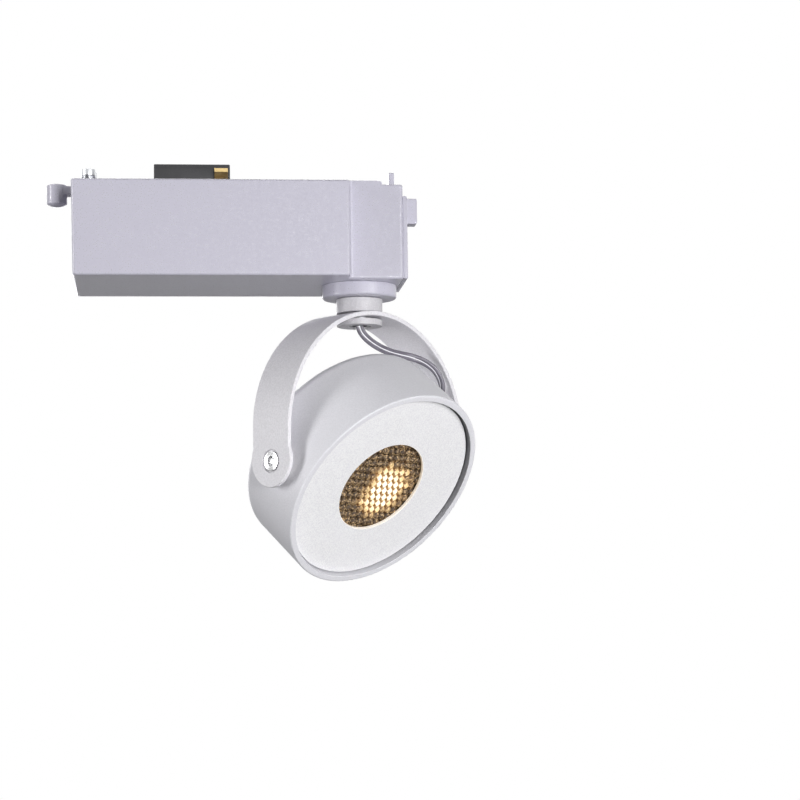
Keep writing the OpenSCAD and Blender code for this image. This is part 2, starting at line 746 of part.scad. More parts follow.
module input_choke() color("peru") translate([board_left + choke_d / 2 + choke_inset, 0, board_top_z])
    difference() {
        cylinder(d = choke_d, h = choke_height);
        translate([0, 0, -cut]) cylinder(d = choke_bore, h = choke_height + 2 * cut);
    }

module terminal_block() color("seagreen")
    translate([-board_right - terminal_inset - terminal_size[0], -terminal_size[1] / 2, board_top_z])
        difference() {
            cube(terminal_size);
            for (s = [-1, 1]) translate([terminal_size[0] / 2, (terminal_size[1] + s * terminal_pitch) / 2,
                    terminal_size[2] - terminal_hole_depth])
                cylinder(d = terminal_hole_d, h = terminal_hole_depth + cut);
        }

module output_lead() color(dark) tube(OUTPUT_LEAD, cable_d, 8, [0, 1, 0]);

// Places of the end cap's screws, with z pointing out of the nose
module end_cap_screw_places() {
    for (s = [-1, 1]) translate([nose_right, s * (end_cap_width / 2 - cap_screw_inset),
            floor_under_z + cap_screw_lift])
        rotate([0, 90, 0]) children();
}

module end_cap() color(plastic_white) difference() {
    translate([0, end_cap_width / 2, 0]) rotate([90, 0, 0]) linear_extrude(end_cap_width) {
        translate([nose_right, cap_low_z]) square([end_cap_t - tab_edge_r, cap_top_z - cap_low_z]);
        translate([nose_right, cap_low_z]) square([end_cap_t, cap_top_z - tab_edge_r - cap_low_z]);
        translate([nose_right + end_cap_t - tab_edge_r, cap_top_z - tab_edge_r]) circle(tab_edge_r);
    }
    translate([nose_right - cut, -latch_neck_width / 2 - face_gap,
            latch_neck_z - latch_neck_height / 2 - latch_travel - face_gap])
        cube([end_cap_t + 2 * cut, latch_neck_width + 2 * face_gap, box_height]);
    end_cap_screw_places() {
        translate([0, 0, -cut]) cylinder(d = small_screw_d + 4 * fit_gap, h = end_cap_t + 2 * cut);
        translate([0, 0, end_cap_t - cap_screw_sink])
            cylinder(d = screw_head_d + 4 * fit_gap, h = cap_screw_sink + cut);
    }
}

module end_cap_screws() color(steel) end_cap_screw_places() translate([0, 0, end_cap_t - cap_screw_sink])
    small_screw(small_screw_d, screw_head_d, cap_screw_sink - screw_weld, end_cap_t - cap_screw_sink + wall);

module lock_lever() color(plastic_white) translate([-lever_x, 0, 0]) difference() {
    union() {
        translate([0, 0, well_floor_z + face_gap])
            cylinder(d = hub_d, h = hub_top_z - well_floor_z - face_gap);
        translate([0, 0, journal_end_z - face_gap]) cylinder(d = journal_d, h = -journal_end_z + arm_top_z);
        translate([0, 0, arm_top_z - arm_t]) linear_extrude(arm_t) polygon([
            [0, -arm_width / 2], [-lever_reach, -arm_tip_width / 2], [-lever_reach, arm_tip_width / 2],
            [0, arm_width / 2]]);
        translate([-lever_reach, 0, knob_bottom_z]) intersection() {
            cylinder(d = knob_d, h = knob_height);
            translate([0, 0, knob_bottom_r]) sphere(r = knob_bottom_r);
            translate([0, 0, knob_height - knob_top_r]) sphere(r = knob_top_r);
        }
    }
    translate([0, 0, hub_top_z - lock_tenon_len])
        cylinder(d = lock_tenon_d + 2 * fit_gap, h = lock_tenon_len + cut);
    translate([0, 0, journal_end_z - face_gap - cut])
        cylinder(d = lever_screw_d + 2 * fit_gap, h = journal_len + cut);
}

module lock_bar() color(steel) translate([-lever_x, 0, 0]) {
    translate([0, 0, hub_top_z - lock_tenon_len + fit_gap]) cylinder(d = lock_tenon_d, h = lock_tenon_len);
    translate([0, 0, hub_top_z]) cylinder(d = lock_neck_d, h = lock_lift - hub_top_z + lock_t);
    translate([0, 0, lock_lift]) linear_extrude(lock_t) {
        translate([-lock_width / 2, -(lock_len - lock_width) / 2])
            square([lock_width, lock_len - lock_width]);
        for (s = [-1, 1]) translate([0, s * (lock_len - lock_width) / 2]) circle(d = lock_width);
    }
}

module lever_screw() color(steel) translate([-lever_x, 0, journal_end_z - face_gap]) mirror([0, 0, 1])
    small_screw(lever_screw_d, lever_screw_head_d, lever_screw_head_t, journal_len - lever_screw_short);

module latch_slider() color(plastic_white) {
    translate([latch_left, -latch_width / 2, latch_bottom_z]) cube([latch_t, latch_width, latch_height]);
    translate([latch_left, -tongue_width / 2, latch_top_z - cut])
        cube([latch_t, tongue_width, tongue_rise - latch_top_z + cut]);
    translate([latch_left, -latch_neck_width / 2, latch_neck_z - latch_neck_height / 2])
        cube([tab_inner_x + tab_edge_r - latch_left, latch_neck_width, latch_neck_height]);
    translate([0, tab_width / 2, latch_neck_z]) rotate([90, 0, 0]) linear_extrude(tab_width)
        round_rect([tab_inner_x, -tab_height / 2], [nose_right + end_cap_t + tab_out, tab_height / 2],
            tab_edge_r);
    translate([spring_seat_x - spring_foot_d / 2, -latch_width / 2, latch_bottom_z])
        cube([latch_right - spring_seat_x + spring_foot_d / 2, latch_width, latch_shelf_t]);
    translate([spring_seat_x, 0, latch_bottom_z - spring_seat_h])
        cylinder(d = spring_seat_d, h = spring_seat_h + cut);
}

module latch_spring() color(steel) {
    low = spring_low_z + spring_wire / 2 + fit_gap;
    high = latch_bottom_z - spring_wire / 2 - fit_gap;
    steps = spring_turns * spring_steps;
    tube([for (i = [0 : steps]) let (a = 360 * i / spring_steps)
        [spring_seat_x + spring_d / 2 * cos(a), spring_d / 2 * sin(a), low + (high - low) * i / steps]],
        spring_wire, 6, [0, 0, 1]);
}

module swivel_collar() color(plastic_white) difference() {
    rotate_extrude() {
        translate([0, collar_low_z + collar_edge_r]) square([collar_d / 2, collar_height - collar_edge_r]);
        translate([0, collar_low_z]) square([collar_d / 2 - collar_edge_r, collar_height]);
        intersection() {
            translate([collar_d / 2 - collar_edge_r, collar_low_z + collar_edge_r]) circle(collar_edge_r);
            translate([0, collar_low_z]) square([collar_d / 2, collar_height]);
        }
        translate([0, floor_under_z - cut]) square([spigot_d / 2, wall + cut]);
    }
    translate([0, 0, collar_low_z - cut])
        cylinder(d = nipple_d + 2 * run_gap, h = collar_height + wall + 2 * cut);
}

module thrust_washer() color(nylon) difference() {
    translate([0, 0, floor_z]) cylinder(d = thrust_d, h = thrust_t);
    translate([0, 0, floor_z - cut]) cylinder(d = nipple_d + 2 * run_gap, h = thrust_t + 2 * cut);
}

module swivel_nut() color(brass) difference() {
    translate([0, 0, nut_low_z]) rotate(30) cylinder(d = nut_flats / cos(30), h = nut_height, $fn = 6);
    translate([0, 0, nut_low_z - cut]) cylinder(d = nipple_d + 2 * fit_gap, h = nut_height + 2 * cut);
}

module hollow_nipple() color(steel) difference() {
    translate([0, 0, nipple_low_z]) cylinder(d = nipple_d, h = nipple_top_z - nipple_low_z);
    translate([0, 0, nipple_low_z - cut])
        cylinder(d = nipple_bore, h = nipple_top_z - nipple_low_z + 2 * cut);
}

module stem() color(paint_grey) difference() {
    translate([0, 0, yoke_top_z]) cylinder(d = stem_d, h = stem_height);
    translate([0, 0, yoke_top_z - cut]) cylinder(d = nipple_d + 2 * fit_gap, h = stem_height + 2 * cut);
}

// Profile of the yoke's strip across the tilt axis
module yoke_profile() {
    low = arm_end_z - arm_end_r;
    difference() {
        union() {
            translate([0, arch_centre_z]) circle(arch_r);
            translate([-arch_r, low]) square([2 * arch_r, arch_centre_z - low]);
        }
        translate([0, arch_centre_z]) circle(arch_inner_r);
        translate([-arch_inner_r, low - cut]) square([2 * arch_inner_r, arch_centre_z - low + cut]);
    }
}

// Outline of the yoke's strip seen along the tilt axis, with x as the height
module strip_outline() {
    polygon([[pivot_z, -strip_low_width / 2], [yoke_top_z + cut, -strip_width / 2],
        [yoke_top_z + cut, strip_width / 2], [pivot_z, strip_low_width / 2]]);
    translate([arm_end_z, 0]) circle(arm_end_r);
}

module yoke() color(paint_grey) yoke_frame() difference() {
    intersection() {
        translate([0, strip_width, 0]) rotate([90, 0, 0]) linear_extrude(2 * strip_width) yoke_profile();
        translate([2 * arch_r, 0, 0]) rotate([0, -90, 0]) linear_extrude(4 * arch_r) strip_outline();
    }
    translate([0, 0, yoke_top_z - arch_r]) cylinder(d = nipple_d + 2 * fit_gap, h = 2 * arch_r);
    translate([0, 0, pivot_z]) tilt_ends() {
        cylinder(d = pivot_d + 2 * run_gap, h = 2 * arch_r);
        translate([0, 0, arch_r - pivot_seat_depth]) cylinder(d = pivot_seat_d, h = arch_r);
    }
}

module saddle_washer() color(paint_grey) difference() {
    translate([0, 0, saddle_low_z]) cylinder(d = saddle_d, h = saddle_t);
    translate([0, 0, saddle_low_z - cut]) cylinder(d = nipple_d + 2 * fit_gap, h = saddle_t + 2 * cut);
}

module cable_bush() color(dark) difference() {
    translate([0, 0, nipple_low_z]) cylinder(d = nipple_bore - 2 * fit_gap, h = bush_len);
    translate([0, 0, nipple_low_z - cut]) cylinder(d = cable_d + 2 * cable_gap, h = bush_len + 2 * cut);
}

module head_cable() color(dark) yoke_frame()
    tube(concat(HEAD_CABLE, cable_end), cable_d, 8, [1, 0, 0]);

// Half section of the drum, with x as the radius
module drum_profile() {
    edge_z = back_edge_r - drum_back;
    difference() {
        union() {
            translate([0, -drum_back]) square([drum_r - back_edge_r, drum_back + drum_front]);
            translate([0, edge_z]) square([drum_r, drum_front - rim_edge_r - edge_z]);
            translate([0, 0]) square([drum_r - rim_edge_r, drum_front]);
            translate([drum_r - back_edge_r, edge_z]) circle(back_edge_r);
            translate([drum_r - rim_edge_r, drum_front - rim_edge_r]) circle(rim_edge_r);
        }
        translate([0, floor_front]) square([cavity_r, drum_back + drum_front]);
        translate([0, disc_back]) square([rim_inner_r, drum_front]);
    }
}

module head_housing() color(paint_white) head_frame() difference() {
    union() {
        rotate_extrude() drum_profile();
        tilt_ends() translate([0, 0, boss_face - boss_depth]) cylinder(d = boss_d, h = boss_depth);
    }
    tilt_ends() translate([0, 0, boss_face - boss_depth - cut])
        cylinder(d = pivot_d + 2 * fit_gap, h = boss_depth + 2 * cut);
    translate([grommet_at[0], grommet_at[1], -drum_back - cut]) cylinder(d = grommet_d, h = back_t + 2 * cut);
    spreader_screw_places() translate([0, 0, -back_t - cut])
        cylinder(d = small_screw_d + 4 * fit_gap, h = back_t + 2 * cut);
}

module pivot_screws() color(steel) head_frame() tilt_ends() difference() {
    union() {
        translate([0, 0, boss_face - boss_depth + pivot_short])
            cylinder(d = pivot_d, h = arch_r - boss_face + boss_depth - pivot_short);
        translate([0, 0, arch_r - pivot_head_t]) cylinder(d = pivot_head_d, h = pivot_head_t);
    }
    translate([0, 0, arch_r - socket_depth])
        cylinder(d = socket_flats / cos(30), h = socket_depth + cut, $fn = 6);
}

module pivot_bushes() color(nylon) head_frame() tilt_ends() difference() {
    translate([0, 0, boss_face]) cylinder(d = boss_d, h = arch_inner_r - face_gap - boss_face);
    translate([0, 0, boss_face - cut]) cylinder(d = pivot_d + 2 * fit_gap, h = arch_r);
}

// Places of the heat spreader's screws on the drum's back, with z towards the front
module spreader_screw_places() {
    for (a = [90, 210, 330]) rotate(a) translate([screw_ring_r, 0, floor_front]) children();
}

module heat_spreader() color(steel) head_frame() difference() {
    translate([0, 0, floor_front]) cylinder(d = spreader_d, h = spreader_t);
    spreader_screw_places() translate([0, 0, -cut])
        cylinder(d = small_screw_d + 2 * fit_gap, h = spreader_t + 2 * cut);
    translate([grommet_at[0], grommet_at[1], floor_front - cut])
        cylinder(d = grommet_d + 2 * grommet_flange, h = spreader_t + 2 * cut);
    holder_screw_places() translate([0, 0, -spreader_t - cut])
        cylinder(d = small_screw_d + 2 * fit_gap, h = spreader_t + 2 * cut);
}

module spreader_screws() color(steel) head_frame() spreader_screw_places()
    translate([0, 0, -back_t]) mirror([0, 0, 1])
        small_screw(small_screw_d, screw_head_d, screw_head_t, back_t + spreader_t - screw_short);

module led_carrier() color("whitesmoke") head_frame()
    translate([-led_side / 2, -led_side / 2, spreader_front]) cube([led_side, led_side, led_t]);

module led_emitter() color("gold") head_frame()
    translate([0, 0, led_front]) cylinder(d = emitter_d, h = emitter_t);

// Places of the holder's screws on the heat spreader, with z towards the front
module holder_screw_places() {
    for (a = [135, 315]) rotate(a) translate([holder_ring_r, 0, spreader_front]) children();
}

module led_holder() color(nylon) head_frame() difference() {
    translate([0, 0, spreader_front]) cylinder(d = holder_d, h = holder_t);
    translate([-led_side / 2 - drop_gap, -led_side / 2 - drop_gap, spreader_front - cut])
        cube([led_side + 2 * drop_gap, led_side + 2 * drop_gap, led_t + cut]);
    translate([0, 0, spreader_front]) cylinder(r = reflector_throat_r, h = holder_t + cut);
    holder_screw_places() {
        translate([0, 0, -cut]) cylinder(d = small_screw_d + 4 * fit_gap, h = holder_t + 2 * cut);
        translate([0, 0, holder_t - screw_head_t - holder_screw_sink])
            cylinder(d = screw_head_d + 4 * fit_gap, h = screw_head_t + cut);
    }
}

module holder_screws() color(steel) head_frame() holder_screw_places()
    translate([0, 0, holder_t - screw_head_t - holder_screw_sink])
        small_screw(small_screw_d, screw_head_d, screw_head_t,
            holder_t - screw_head_t - holder_screw_sink + spreader_t - screw_short);

module reflector() color("gainsboro") head_frame() rotate_extrude() polygon([
    [reflector_throat_r, holder_front], [reflector_throat_r + reflector_t, holder_front],
    [reflector_mouth_r, lens_back - reflector_t], [reflector_mouth_r, lens_back],
    [reflector_mouth_r - reflector_t, lens_back]]);

module bead_lens() color([1, 0.8, 0.45]) head_frame()
    translate([0, 0, lens_back]) cylinder(d = lens_d, h = lens_t);

module front_disc() color(paint_grained) head_frame() difference() {
    translate([0, 0, disc_back]) cylinder(d = disc_d, h = disc_t);
    translate([0, 0, disc_back - cut]) cylinder(d = aperture_d, h = disc_t + 2 * cut);
}

module cable_grommet() color(dark) head_frame()
    translate([grommet_at[0], grommet_at[1], 0]) difference() {
        union() {
            translate([0, 0, -drum_back - grommet_flange_t])
                cylinder(d = grommet_d + 2 * grommet_flange, h = grommet_flange_t);
            translate([0, 0, -drum_back - grommet_flange_t])
                cylinder(d = grommet_d - 2 * fit_gap, h = back_t + 2 * grommet_flange_t);
            translate([0, 0, floor_front])
                cylinder(d = grommet_d + 2 * grommet_inner_flange, h = grommet_flange_t);
        }
        translate([0, 0, -drum_back - grommet_flange_t - cut])
            cylinder(d = cable_d + 2 * cable_gap, h = back_t + 2 * grommet_flange_t + 2 * cut);
    }

module led_lead() color("firebrick") head_frame() tube(LED_LEAD, lead_d, 8, [1, 0, 0]);

driver_housing();
top_cover();
cover_screws();
contact_block();
contact_leaves();
supply_leads();
driver_board();
board_screws();
transformer();
filter_capacitors();
input_choke();
terminal_block();
output_lead();
end_cap();
end_cap_screws();
lock_lever();
lock_bar();
lever_screw();
latch_slider();
latch_spring();
swivel_collar();
thrust_washer();
swivel_nut();
hollow_nipple();
stem();
yoke();
saddle_washer();
cable_bush();
head_cable();
head_housing();
pivot_screws();
pivot_bushes();
heat_spreader();
spreader_screws();
led_carrier();
led_emitter();
led_holder();
holder_screws();
reflector();
bead_lens();
front_disc();
cable_grommet();
led_lead();
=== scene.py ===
# Track spotlight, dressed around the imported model: softened edges, a twin cable, a beaded lens,
# sparkling plastic, powder coats and plain studio light. Metres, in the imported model's own frame.
import json
import math
import random

import bmesh
import bpy
from mathutils import Matrix, Vector


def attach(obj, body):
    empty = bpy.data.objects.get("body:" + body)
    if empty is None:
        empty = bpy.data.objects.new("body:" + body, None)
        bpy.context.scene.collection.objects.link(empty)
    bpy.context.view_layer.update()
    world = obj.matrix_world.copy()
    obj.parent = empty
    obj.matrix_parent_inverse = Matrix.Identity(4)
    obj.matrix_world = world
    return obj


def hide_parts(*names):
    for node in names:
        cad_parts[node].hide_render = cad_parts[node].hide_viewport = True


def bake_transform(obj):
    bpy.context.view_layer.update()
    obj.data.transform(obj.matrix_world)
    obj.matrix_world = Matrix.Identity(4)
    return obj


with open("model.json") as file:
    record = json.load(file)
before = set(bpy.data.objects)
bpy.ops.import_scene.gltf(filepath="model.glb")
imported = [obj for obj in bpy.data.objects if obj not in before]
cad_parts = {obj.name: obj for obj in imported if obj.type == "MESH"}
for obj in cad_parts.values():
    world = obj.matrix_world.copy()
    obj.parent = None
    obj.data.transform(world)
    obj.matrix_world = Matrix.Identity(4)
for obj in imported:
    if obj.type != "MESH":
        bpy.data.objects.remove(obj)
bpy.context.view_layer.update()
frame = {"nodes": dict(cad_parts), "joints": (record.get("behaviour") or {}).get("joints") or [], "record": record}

MM = 0.001
NODES = frame["nodes"]
RECORD = frame["record"]
SLOT_OF = {part["node"]: part["material_slot"] for part in RECORD["subparts"]}
BODY_OF = {node: body for body, nodes in RECORD["behaviour"]["bodies"].items() for node in nodes}
JOINTS = {joint["name"]: joint for joint in frame["joints"]}

# The yoke's frame has x along the tilt axis. The head's has x along the tilt axis, y up the drum's
# face and z towards the front. The tilt's lower limit is a level aim.
TILT_POINT = Vector(JOINTS["tilt"]["pos_m"])
TILT_AXIS = Vector(JOINTS["tilt"]["axis"])
TILT_SQUARE = TILT_AXIS.cross(Vector((0, 0, 1))).normalized()
PAN = math.atan2(TILT_AXIS.y, TILT_AXIS.x)
AIM_BELOW_LEVEL = math.radians(-JOINTS["tilt"]["range_deg"][0])
YOKE_FRAME = Matrix.Rotation(PAN, 4, "Z")
HEAD_TURN = Matrix.Rotation(math.pi / 2 + AIM_BELOW_LEVEL, 4, "X")
HEAD_FRAME = Matrix.Translation(TILT_POINT) @ YOKE_FRAME @ HEAD_TURN
TO_HEAD = HEAD_FRAME.inverted()

# Camera
CAMERA_PLACE = Vector((-0.09038, -1.06175, -0.21155))
CAMERA_TURN = math.radians(-5.82)
CAMERA_RISE = math.radians(6.09)
CAMERA_ROLL = math.radians(-0.82)
CAMERA_LENS = 107.33
CAMERA_SENSOR = 36

# Cable, in millimetres: its route from the swivel's nipple in the yoke's frame, then its last stretch
# at these heights behind the drum's back, over the grommet
CABLE_ROUTE = [
    (0, 0, -38), (0, 0, -44), (0, 0, -50), (0, 0, -56), (0, 0, -60.5), (0.05, 0, -64.2),
    (1.5, -0.2, -67.2), (5.2, -0.7, -70.2), (10.4, -1.5, -72.8), (16.4, -2.4, -74.7),
    (22.6, -3.4, -75.7), (28.8, -5, -76.6), (34, -7.2, -78.4), (37.8, -9.2, -81.1),
    (40.6, -10, -84.2), (42.5, -10, -87.4), (43.8, -9.2, -90.6), (45.6, -6.2, -94.4),
    (46.8, -1.6, -97.2), (46.9, 2.8, -98.1), (46.7, 7.2, -99), (46, 11.5, -99.8),
    (44.8, 15.8, -100.4), (42.6, 19.6, -101), (39.2, 22.5, -101.4), (35, 23.6, -101.7),
    (30.8, 22.3, -102.5), (27.9, 19.4, -104.1),
]
CABLE_TAIL = (5.5, 2, -1.5)
GROMMET_PLACE = (27, 7)
DRUM_BACK = 20
LOBE_R = 1.0
LOBE_OUT = 0.8
WEB_R = 0.9
CABLE_SIDES = 32
CABLE_STEPS = 5
STRANDS = 14
STRAND_LAY = 1.1

# The cable's broad side faces forwards where it leaves the washer. Between these distances along it,
# in millimetres, it turns over.
BROAD_SIDE = Vector((-0.1, -1, 0)).normalized()
TURN_START = 48
TURN_END = 86
TURN_ANGLE = math.radians(55)

# Lens, in millimetres along the head's axis and across it
LENS_R = 26
LENS_BACK = 11.4
LENS_FRONT = 14.4
LENS_SIDES = 96
LENS_EDGE = (0.2, 2)
BEAD_RISE = 1.5
BEAD_BASE_R = 2.15
BEAD_SINK = 0.1
BEAD_SIDES = 8
BEAD_RINGS = 10
BEAD_PITCH = 3.5
BEAD_ROW = 3.4
BEAD_EDGE = 24.2
BEAD_SEED = 7
# Centre of the glow painted on the beads, in millimetres across the head's axis
GLOW_CENTRE = Vector((5.0, -2.4))

# Disc, in millimetres from the head's axis: the aperture's wall lies within the first radius, and the
# walls of the gap round the disc lie between the other two. Shade is painted on the gap's walls, darkest on one
# side.
APERTURE_EDGE = 22.8
GAP_INNER_R = 46.35
GAP_OUTER_R = 47.05
GAP_DARK_SIDE = Vector((0.8, 0.6))
GAP_SHADE = 0.55
GAP_SWING = 0.45

# Finishes: rings on the turned screw heads, and the number of broad patches in a metre of each kind
RINGS_PER_MM = 3.0
COAT_PATCHES = 26.0
MOULD_PATCHES = 60.0
METAL_PATCHES = 140.0
TURNED_PATCHES = 300.0
JACKET_PATCHES = 200.0
FLOOR_PATCHES = 3.0

# Coats: share and tint of a patch, and how much glossier a fleck is
PATCH_SHARE = 0.3
PATCH_TINT = 0.99
FLECK_GLOSS = 0.3

# Glow painted on the lens's beads and on the aperture's walls, and what is left of the paint's tone under the
# shade painted in the gap round the disc
BEAD_GLOW = 1.5
BEAD_UNEVEN = 0.08
APERTURE_PAINTED_GLOW = 0.3
HEAD_GAP_SHADE_TONE = 0.25
DISC_GAP_SHADE_TONE = 0.2

# Studio, with the place, size and watts of each softbox
FLOOR_Z = -1.2
FLOOR_SIZE = 14.0
FLOOR_BOUNCE = (0.1, 0.1, 0.1, 1.0)
TARGET = Vector((-0.01, 0, -0.1))
SOFTBOXES = {
    "front_softbox": ((0.445, -2.147, -0.254), (0.25, 0.4), 22),
    "right_softbox": ((1.187, -1.33, -0.289), (0.4, 0.9), 12.5),
    "glint_softbox": ((0.91, -1.535, 0.12), (0.16, 0.5), 3),
    "side_softbox": ((-1.465, -0.365, -0.055), (0.35, 0.9), 12),
    "low_softbox": ((0.5, -0.55, -0.62), (0.4, 0.4), 0.85),
    "top_softbox": ((-0.2, 1.3, 1.3), (1.2, 1.2), 12),
    "back_softbox": ((-0.4, 2.0, 0.3), (1.4, 1.0), 14),
}
AMBIENT = 0.04

# Mirrored light from below the horizon is cut to this share, over this dip
LOW_MIRRORED = 0.1
HORIZON_DIP = -0.1

# Edge rounding of each CAD solid in millimetres, and the number of steps round the edge
SOFT_EDGES = {
    "driver_housing": (1.0, 4), "top_cover": (0.4, 2), "cover_screws": (0.1, 2),
    "contact_block": (0.4, 2), "contact_leaves": (0.1, 2), "driver_board": (0.15, 1),
    "board_screws": (0.15, 2), "transformer": (0.4, 2), "filter_capacitors": (0.15, 2),
    "input_choke": (0.5, 3), "terminal_block": (0.3, 2), "end_cap": (0.5, 3),
    "end_cap_screws": (0.15, 2), "lock_lever": (0.45, 3), "lock_bar": (0.3, 2),
    "lever_screw": (0.15, 2), "latch_slider": (0.4, 3), "swivel_collar": (0.3, 2),
    "thrust_washer": (0.15, 2), "swivel_nut": (0.4, 2), "hollow_nipple": (0.25, 2),
    "stem": (0.3, 2), "yoke": (0.4, 3), "saddle_washer": (0.3, 2), "cable_bush": (0.2, 2),
    "head_housing": (0.4, 2), "pivot_screws": (0.2, 2), "pivot_bushes": (0.2, 2),
    "heat_spreader": (0.3, 2), "spreader_screws": (0.15, 2), "led_carrier": (0.1, 1),
    "led_emitter": (0.1, 2), "led_holder": (0.3, 2), "holder_screws": (0.15, 2),
    "reflector": (0.1, 2), "front_disc": (0.25, 2), "cable_grommet": (0.35, 2),
}
MERGE_GAP = 0.01 * MM
FLAT_ANGLE = math.radians(0.6)
SHARP_ANGLE = math.radians(34)
SMOOTH_ANGLE = math.radians(40)
FACET_ANGLE = math.radians(12)
IN_LINE = math.cos(math.radians(30))
EDGE_ROOM = 1.2


def make_active(piece):
    bpy.ops.object.select_all(action="DESELECT")
    piece.select_set(True)
    bpy.context.view_layer.objects.active = piece


def add_object(name, data):
    thing = bpy.data.objects.new(name, data)
    bpy.context.scene.collection.objects.link(thing)
    return thing


def apply_modifier(piece, kind, **values):
    make_active(piece)
    modifier = piece.modifiers.new(kind.lower(), kind)
    for key, value in values.items():
        setattr(modifier, key, value)
    bpy.ops.object.modifier_apply(modifier=modifier.name)


def shade(piece, angle=SMOOTH_ANGLE):
    make_active(piece)
    bpy.ops.object.shade_smooth_by_angle(angle=angle)
    apply_modifier(piece, "WEIGHTED_NORMAL", keep_sharp=True)


def finish_in(piece, material):
    piece.data.materials.clear()
    piece.data.materials.append(material)


def copy_of(node, name):
    """A copy of a CAD solid, with its loose triangles merged and its flat faces made whole."""
    piece = add_object(name, NODES[node].data.copy())
    make_active(piece)
    bpy.ops.mesh.customdata_custom_splitnormals_clear()
    bpy.ops.object.mode_set(mode="EDIT")
    bpy.ops.mesh.select_all(action="SELECT")
    bpy.ops.mesh.remove_doubles(threshold=MERGE_GAP)
    bpy.ops.mesh.dissolve_limited(angle_limit=FLAT_ANGLE)
    bpy.ops.object.mode_set(mode="OBJECT")
    return piece


def is_outer(edge):
    """Whether the edge is sharp and stands out."""
    return len(edge.link_faces) == 2 and edge.is_convex and edge.calc_face_angle() > SHARP_ANGLE


def weigh_edges(piece, width):
    """Marks the sharp outer edges for rounding, with less of it where a neighbour leaves little room.

    Edges that run on in line get the same rounding."""
    shape = bmesh.new()
    shape.from_mesh(piece.data)
    weight = shape.edges.layers.float.new("bevel_weight_edge")
    chain = []
    for edge in filter(is_outer, shape.edges):
        room = EDGE_ROOM * width
        for corner in edge.verts:
            along = (edge.other_vert(corner).co - corner.co).normalized()
            for other in corner.link_edges:
                way = along.dot((other.other_vert(corner).co - corner.co).normalized())
                if way > IN_LINE and other is not edge and other.calc_face_angle(0) > SHARP_ANGLE:
                    room = 0
                elif way < -IN_LINE and is_outer(other):
                    chain.append((edge, other))
                elif abs(way) < IN_LINE:
                    room = min(room, other.calc_length())
        edge[weight] = room / (EDGE_ROOM * width)
    uneven = True
    while uneven:
        uneven = False
        for edge, other in chain:
            if other[weight] < edge[weight]:
                edge[weight] = other[weight]
                uneven = True
    shape.to_mesh(piece.data)
    shape.free()


def soften(piece, width, steps):
    weigh_edges(piece, width)
    apply_modifier(piece, "BEVEL", width=width, segments=steps, limit_method="WEIGHT",
                   use_clamp_overlap=False, miter_outer="MITER_ARC")
    shade(piece)


def map_piece(piece, name, place_of):
    """Maps the piece by a place worked out from each of its points."""
    layer = piece.data.uv_layers.new(name=name)
    for loop in piece.data.loops:
        layer.data[loop.index].uv = place_of(piece.data.vertices[loop.vertex_index].co)


def across_tilt_axis(point):
    """The point's place across the tilt axis, in millimetres."""
    spot = point - TILT_POINT
    return spot.dot(TILT_SQUARE) / MM, spot.z / MM


def across_head_axis(point):
    """The point's place across the head's axis, in millimetres."""
    return (TO_HEAD @ point).xy / MM


def mark_gap_shade(piece):
    """Marks the walls of the gap round the disc, and how much shade is painted on them."""
    mark = piece.data.attributes.new("gap", "FLOAT", "POINT")
    for vertex in piece.data.vertices:
        spot = TO_HEAD @ vertex.co / MM
        if spot.z > 0 and GAP_INNER_R < spot.xy.length < GAP_OUTER_R:
            facing = spot.xy.normalized().dot(GAP_DARK_SIDE)
            mark.data[vertex.index].value = GAP_SHADE + GAP_SWING * facing


def stand_for(piece, node, material):
    """The piece takes the CAD node's place and body, in the finish given."""
    finish_in(piece, material)
    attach(piece, BODY_OF[node])
    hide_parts(node)


# Camera at the photograph's angle
def make_camera():
    lens = bpy.data.cameras.new("photo_camera")
    lens.lens = CAMERA_LENS
    lens.sensor_width = CAMERA_SENSOR
    camera = add_object("photo_camera", lens)
    turn = Matrix.Rotation(CAMERA_TURN, 4, "Z")
    rise = Matrix.Rotation(math.pi / 2 + CAMERA_RISE, 4, "X")
    roll = Matrix.Rotation(CAMERA_ROLL, 4, "Z")
    camera.matrix_world = Matrix.Translation(CAMERA_PLACE) @ turn @ rise @ roll
    bpy.context.scene.camera = camera


# Cable
def cable_points():
    points = [YOKE_FRAME @ (Vector(p) * MM) for p in CABLE_ROUTE]
    for height in CABLE_TAIL:
        points.append(HEAD_FRAME @ (Vector((*GROMMET_PLACE, -DRUM_BACK - height)) * MM))
    return points


def smooth_path(points, steps):
    """A curve through all the points, with this many steps between neighbours."""
    path = []
    for i in range(len(points) - 1):
        before = points[max(i - 1, 0)]
        start = points[i]
        end = points[i + 1]
        after = points[min(i + 2, len(points) - 1)]
        for k in range(steps):
            t = k / steps
            bend = (before - end) * -0.5 * t
            bend += (before * 2 - start * 5 + end * 4 - after) * 0.5 * t * t
            bend += (start * 3 - before - end * 3 + after) * 0.5 * t * t * t
            path.append(start + bend)
    path.append(points[-1])
    return path


def twin_radius(angle):
    """Radius of two round lobes and the web between them, in millimetres."""
    across = LOBE_OUT * math.sin(angle)
    lobe = LOBE_OUT * abs(math.cos(angle)) + math.sqrt(max(LOBE_R ** 2 - across ** 2, 0))
    return max(lobe if abs(across) < LOBE_R else 0, WEB_R)


def broad_axis(along, travelled):
    """Direction of the cable's broad side at this distance along it."""
    axis = along.cross(BROAD_SIDE).normalized()
    share = min(max((travelled / MM - TURN_START) / (TURN_END - TURN_START), 0), 1)
    return Matrix.Rotation(TURN_ANGLE * share * share * (3 - 2 * share), 3, along) @ axis


